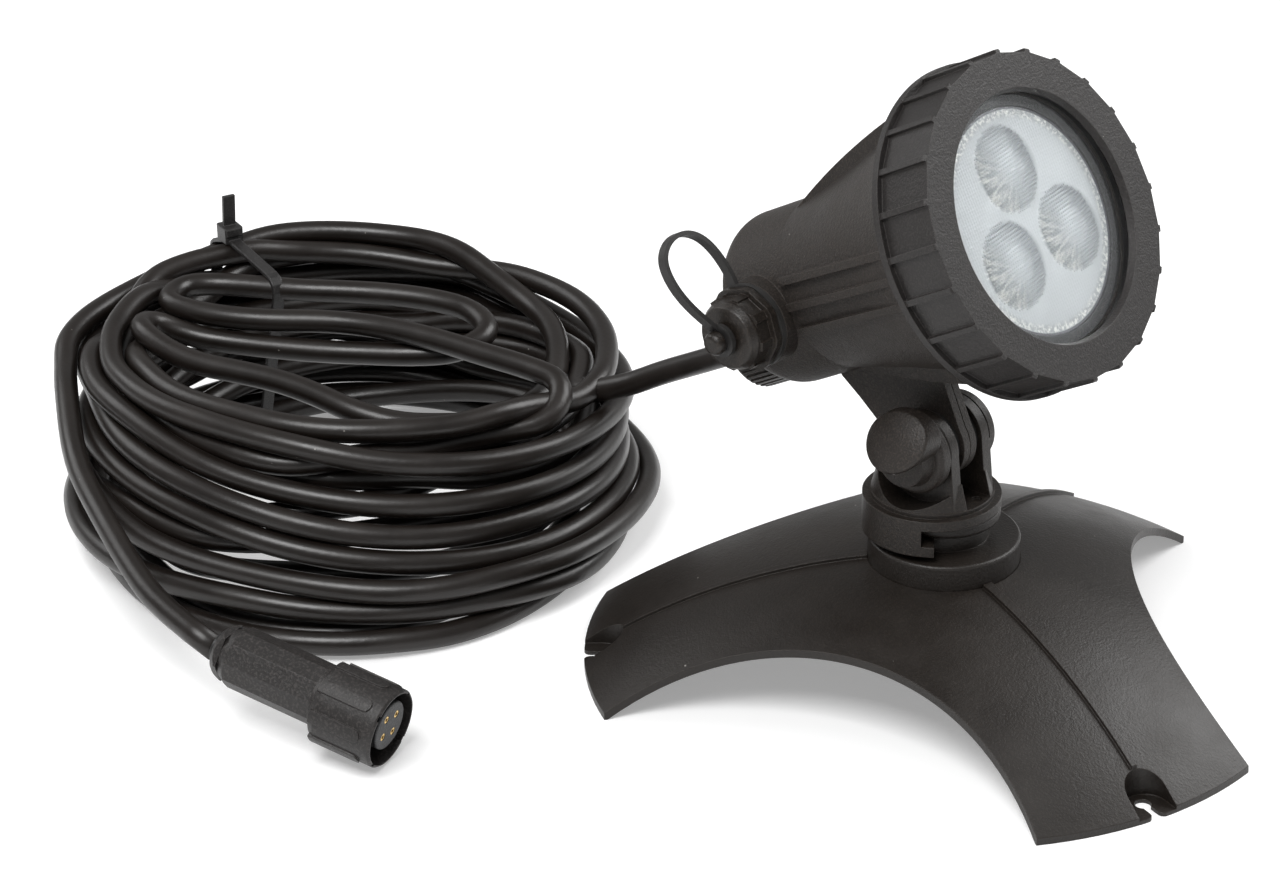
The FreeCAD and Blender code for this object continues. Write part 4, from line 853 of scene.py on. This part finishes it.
# ---- pieces
class PondStage(bpy.types.Operator):
    """Make the camera, the floor and the soft lamps."""

    bl_idname = "pond_light.stage"
    bl_label = "Stage"

    def execute(self, context):
        settings = context.scene.pond_stage
        self.camera(context)
        self.floor(settings)
        self.world(context, settings)
        for name, place, size, power in LAMPS:
            self.lamp(context, name, Vector(place), size, getattr(settings, power))
        return {"FINISHED"}

    def camera(self, context):
        data = bpy.data.cameras.new("camera")
        data.lens = CAMERA_LENS
        data.sensor_width = 36.0
        data.clip_start = 0.05
        data.clip_end = 20.0
        camera = bpy.data.objects.new("camera", data)
        heading, down, roll = (Matrix.Rotation(math.radians(turn), 4, axis) for turn, axis in CAMERA_TURNS)
        camera.matrix_world = Matrix.Translation(Vector(CAMERA_PLACE) * MM) @ (heading @ down @ roll)
        context.scene.collection.objects.link(camera)
        context.scene.camera = camera

    def floor(self, settings):
        material, tree, shader, place = new_finish("pale_floor", roughness=0.9, specular_ior_level=0.1)
        colour = tuple(settings.floor_colour)
        tone = ramp(tree, noise(tree, place, 3.0, 2.0), [(0.3, lighter(colour, 0.99)), (0.7, colour)])
        feed(tree, shader, base_color=tone)
        shown = rays(tree, "Camera", "Glossy", "Transmission")
        glow = node(tree, "ShaderNodeEmission", strength=scaled(tree, shown, 0.0, FLOOR_GLOW))
        both = node(tree, "ShaderNodeAddShader", shader.outputs[0], glow.outputs[0])
        output = next(n for n in tree.nodes if n.type == "OUTPUT_MATERIAL")
        plug(tree, both.outputs[0], output.inputs["Surface"])
        corners = [(x * FLOOR_HALF, y * FLOOR_HALF, 0) for x, y in ((-1, -1), (1, -1), (1, 1), (-1, 1))]
        floor = add_piece("floor", corners, [(0, 1, 2, 3)], material)

    def world(self, context, settings):
        world = bpy.data.worlds.new("studio")
        world.use_nodes = True
        tree = world.node_tree
        back = next(n for n in tree.nodes if n.type == "BACKGROUND")
        back.inputs["Color"].default_value = (1, 1, 1, 1)
        shown = rays(tree, "Camera", "Transmission")
        plug(tree, scaled(tree, shown, settings.ambient, 1.0), back.inputs["Strength"])
        context.scene.world = world
        context.scene.view_settings.view_transform = "Standard"

    def lamp(self, context, name, place, size, power):
        data = bpy.data.lights.new(name, "AREA")
        data.size = size
        data.energy = power
        lamp = bpy.data.objects.new(name, data)
        lamp.location = place
        lamp.rotation_mode = "QUATERNION"
        lamp.rotation_quaternion = (Vector(LAMP_TARGET) - place).to_track_quat("-Z", "Y")
        context.scene.collection.objects.link(lamp)


class PondCable(bpy.types.Operator):
    """Make the coiled cable from the gland to the connector, and its tie."""

    bl_idname = "pond_light.cable"
    bl_label = "Cable and tie"

    def execute(self, context):
        settings = context.scene.pond_cable
        jacket = cable_jacket("cable_jacket", tuple(settings.colour))
        line = smooth_line("cable_line", cable_points())
        cable = tube("cable", line, settings.diameter / 2, settings.sides, jacket)
        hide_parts("cable_lead", "cable_coil", "cable_tail")
        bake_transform(cable)
        self.tie(settings, line)
        dress(jacket, "cable_stub", "connector_stub")
        return {"FINISHED"}

    def tie(self, settings, line):
        """A strap drawn tight round the turns at the back left, with its head and tail on top."""
        out = Vector((math.cos(TIE_ANGLE), math.sin(TIE_ANGLE), 0))
        across = Vector((-out.y, out.x, 0))
        centre = Vector(on_coil(*COIL_OVALS[0][:2], 0)) * MM
        spots = []
        for a, b in zip(line, line[1:]):
            before, after = (a - centre).dot(across), (b - centre).dot(across)
            if before * after < 0:
                at = a.lerp(b, before / (before - after)) - centre
                if at.dot(out) > TIE_INSIDE:
                    spots.append((at.dot(out), at.z))
        clear = settings.diameter / 2 + TIE_CLEARANCE
        around = [(r + clear * math.cos(t), z + clear * math.sin(t)) for r, z in spots
                  for t in (2 * math.pi * n / STRAND_SPOTS for n in range(STRAND_SPOTS))]
        loop = closed_outline(hull(around), TIE_SPOTS)
        half, thick = settings.strap_width / 2, settings.strap_thickness
        vertices = []
        faces = []
        for k, (r, z) in enumerate(loop):
            ahead, behind = loop[(k + 1) % TIE_SPOTS], loop[k - 1]
            way = Vector((ahead[0] - behind[0], ahead[1] - behind[1])).normalized()
            for grow, shift in ((0.0, -half), (thick, -half * TIE_TAPER), (thick, half * TIE_TAPER),
                                (0.0, half)):
                place = centre + out * (r + way.y * grow) + across * shift
                place.z = max(z - way.x * grow, 0.0)
                vertices.append(place)
            here, after = k * 4, (k + 1) % TIE_SPOTS * 4
            faces += [(here + n, here + (n + 1) % 4, after + (n + 1) % 4, after + n) for n in range(4)]
        top = max(loop, key=lambda spot: spot[1] + spot[0] * 0.35)
        self.head(vertices, faces, centre + out * top[0], top[1] + thick * 0.5, out, across)
        material = moulded_plastic("tie_nylon", (0.014, 0.0132, 0.013), 0.42, 2600.0, 0.00004)
        strap = add_piece("cable_tie_strap", vertices, faces, material, smooth=False)
        recalculate(strap)
        bevel = strap.modifiers.new("edges", "BEVEL")
        bevel.width = 0.22 * MM
        bevel.segments = 2
        bevel.limit_method = "ANGLE"
        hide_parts("cable_tie")
        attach(strap, "swivel")

    def head(self, vertices, faces, place, height, out, across):
        """The locking head, a block with its strap's tail standing up from it."""
        for middle, half, lean in TIE_HEAD:
            base = len(vertices)
            middle = Vector(middle)
            for corner in itertools.product((-1, 1), repeat=3):
                offset = Vector([side * size for side, size in zip(corner, half)])
                shift = lean * (offset.z + half[2])
                spot = place + out * (middle.x + offset.x - shift) * MM + across * (middle.y + offset.y) * MM
                vertices.append(Vector((spot.x, spot.y, height + (middle.z + offset.z) * MM)))
            faces.extend(tuple(base + n for n in quad) for quad in
                         ((0, 1, 3, 2), (4, 6, 7, 5), (0, 4, 5, 1), (2, 3, 7, 6), (0, 2, 6, 4), (1, 5, 7, 3)))


class PondFoot(bpy.types.Operator):
    """Finish the foot, its boss and screws."""

    bl_idname = "pond_light.foot"
    bl_label = "Foot"

    def execute(self, context):
        body = context.scene.pond_body
        dress(moulded_plastic("foot_plastic", tuple(body.foot_colour), 0.42, body.grain * 0.8, 0.00005, 0.14),
              "base_shell", "base_boss")
        dress(turned_metal("stainless", (0.62, 0.61, 0.59), 0.28),
              "boss_screws", "pan_screw", "pan_washer", "tilt_bolt")
        return {"FINISHED"}


class PondSwivel(bpy.types.Operator):
    """Finish the swivel, its knob, nut and washers."""

    bl_idname = "pond_light.swivel"
    bl_label = "Swivel and knob"

    def execute(self, context):
        body = context.scene.pond_body
        dress(moulded_plastic("swivel_plastic", tuple(body.foot_colour), 0.44, body.grain, 0.00006),
              "swivel_clevis")
        dress(moulded_plastic("knob_plastic", tuple(body.lamp_colour), 0.46, body.grain, 0.00009),
              "thumb_knob", "tilt_nut")
        dress(soft_rubber("washer_rubber", (0.018, 0.018, 0.018)), "friction_washers")
        return {"FINISHED"}


class PondLamp(bpy.types.Operator):
    """Finish the lamp's body and the ring that holds its glass."""

    bl_idname = "pond_light.lamp"
    bl_label = "Lamp body and lens ring"

    def execute(self, context):
        body = context.scene.pond_body
        dress(moulded_plastic("lamp_plastic", tuple(body.lamp_colour), 0.52, body.grain, 0.00013),
              "lamp_housing")
        dress(moulded_plastic("ring_plastic", tuple(body.plug_colour), 0.47, body.grain * 0.9, 0.00007, 0.28),
              "bezel_ring")
        return {"FINISHED"}


class PondLens(bpy.types.Operator):
    """Make the optic plate with its three lenses, and finish the glass."""

    bl_idname = "pond_light.lens"
    bl_label = "Lens and glass"

    def execute(self, context):
        dress(clear_glass("cover_glass"), "front_glass")
        dress(soft_rubber("gasket_rubber", (0.02, 0.02, 0.02)), "glass_gasket")
        dress(moulded_plastic("retainer_plastic", (0.03, 0.03, 0.031), 0.4, 1500.0, 0.00003),
              "lens_retainer")
        settings = context.scene.pond_lens
        material = lens_finish(settings)
        dress(material, "lens_array")
        facets = grown("lens_facets", facet_nodes(), {
            "Pitch": settings.facet_pitch / MM, "Facet height": settings.facet_height / MM,
            "Lens radius": LENS_RADIUS / MM, "Dome radius": DOME_RADIUS / MM, "Dome height": LENS_DOME,
            "Circle": LENS_CIRCLE / MM, "Rows": FACET_ROWS, "Seed": settings.seed}, material)
        turned = Matrix.Rotation(math.radians(LENS_TURN), 4, "Z")
        axes = Matrix((LAMP_RIGHT, LAMP_UP, LAMP_AXIS)).transposed().to_4x4()
        place = Matrix.Translation(FACE_CENTRE + LAMP_AXIS * (LENS_PLATE - FACET_SINK) * MM)
        facets.data.transform(place @ axes @ Matrix.Scale(MM, 4) @ turned)
        recalculate(facets)
        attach(facets, "head")
        return {"FINISHED"}


class PondInside(bpy.types.Operator):
    """Finish the light engine inside the lamp."""

    bl_idname = "pond_light.inside"
    bl_label = "Light engine"

    def execute(self, context):
        dress(circuit_board("led_board_mask", (0.75, 0.76, 0.74)), "led_board")
        dress(circuit_board("driver_board_mask", (0.02, 0.11, 0.045)), "driver_board")
        dress(phosphor("led_phosphor", (0.85, 0.70, 0.22)), "led_emitters")
        dress(turned_metal("sink_aluminium", (0.70, 0.71, 0.72), 0.38), "heat_sink", "board_standoffs")
        dress(moulded_plastic("part_cases", (0.03, 0.03, 0.035), 0.45, 1800.0, 0.00003), "driver_parts")
        dress(soft_rubber("wire_insulation", (0.30, 0.02, 0.015), 0.45), "inner_wires")
        dress(soft_rubber("potting_resin", (0.02, 0.02, 0.022), 0.35), "potting")
        return {"FINISHED"}


class PondPort(bpy.types.Operator):
    """Finish the second cable port, its cap and strap, and the cable gland."""

    bl_idname = "pond_light.port"
    bl_label = "Port, cap and gland"

    def execute(self, context):
        body = context.scene.pond_body
        dress(moulded_plastic("cap_plastic", tuple(body.foot_colour), 0.40, body.grain, 0.00006),
              "port_cap", "port_socket", "gland_nut")
        dress(soft_rubber("strap_rubber", (0.021, 0.020, 0.0195), 0.5), "cap_strap", "gland_seal")
        dress(turned_metal("gilt", (0.86, 0.58, 0.20), 0.25), "port_pins")
        return {"FINISHED"}


class PondConnector(bpy.types.Operator):
    """Finish the connector on the cable's end."""

    bl_idname = "pond_light.connector"
    bl_label = "Connector"

    def execute(self, context):
        body = context.scene.pond_body
        dress(moulded_plastic("connector_plastic", tuple(body.plug_colour), 0.46, body.grain * 0.7, 0.00006),
              "connector_body", "connector_collar", "connector_clamp")
        dress(moulded_plastic("insert_plastic", (0.020, 0.020, 0.021), 0.5, 1800.0, 0.00004),
              "connector_insert")
        dress(soft_rubber("grommet_rubber", (0.010, 0.010, 0.010), 0.45), "connector_grommet")
        dress(turned_metal("contact_gilt", (0.88, 0.60, 0.21), 0.22), "connector_contacts")
        return {"FINISHED"}


class PondPanel(bpy.types.Panel):
    """Lists the settings and the pieces of the pond light."""

    bl_idname = "VIEW3D_PT_pond_light"
    bl_label = "Pond light"
    bl_space_type = "VIEW_3D"
    bl_region_type = "UI"
    bl_category = "Pond light"

    def draw(self, context):
        layout = self.layout
        for operator in OPERATORS:
            layout.operator(operator.bl_idname)
        for group in GROUPS:
            settings = getattr(context.scene, group)
            for name in settings.bl_rna.properties.keys():
                if name not in {"rna_type", "name"}:
                    layout.prop(settings, name)


GROUPS = {"pond_cable": PondCableSettings, "pond_body": PondBodySettings, "pond_lens": PondLensSettings,
          "pond_stage": PondStageSettings}
OPERATORS = (PondStage, PondCable, PondFoot, PondSwivel, PondLamp, PondLens, PondInside, PondPort,
             PondConnector)
CLASSES = (*GROUPS.values(), *OPERATORS, PondPanel)


def register():
    for made in CLASSES:
        bpy.utils.register_class(made)
    for name, group in GROUPS.items():
        setattr(bpy.types.Scene, name, bpy.props.PointerProperty(type=group))


def unregister():
    for name in GROUPS:
        delattr(bpy.types.Scene, name)
    for made in reversed(CLASSES):
        bpy.utils.unregister_class(made)


def main():
    register()
    bpy.ops.pond_light.stage()
    bpy.ops.pond_light.cable()
    bpy.ops.pond_light.foot()
    bpy.ops.pond_light.swivel()
    bpy.ops.pond_light.lamp()
    bpy.ops.pond_light.lens()
    bpy.ops.pond_light.inside()
    bpy.ops.pond_light.port()
    bpy.ops.pond_light.connector()


if __name__ == "__main__":
    main()
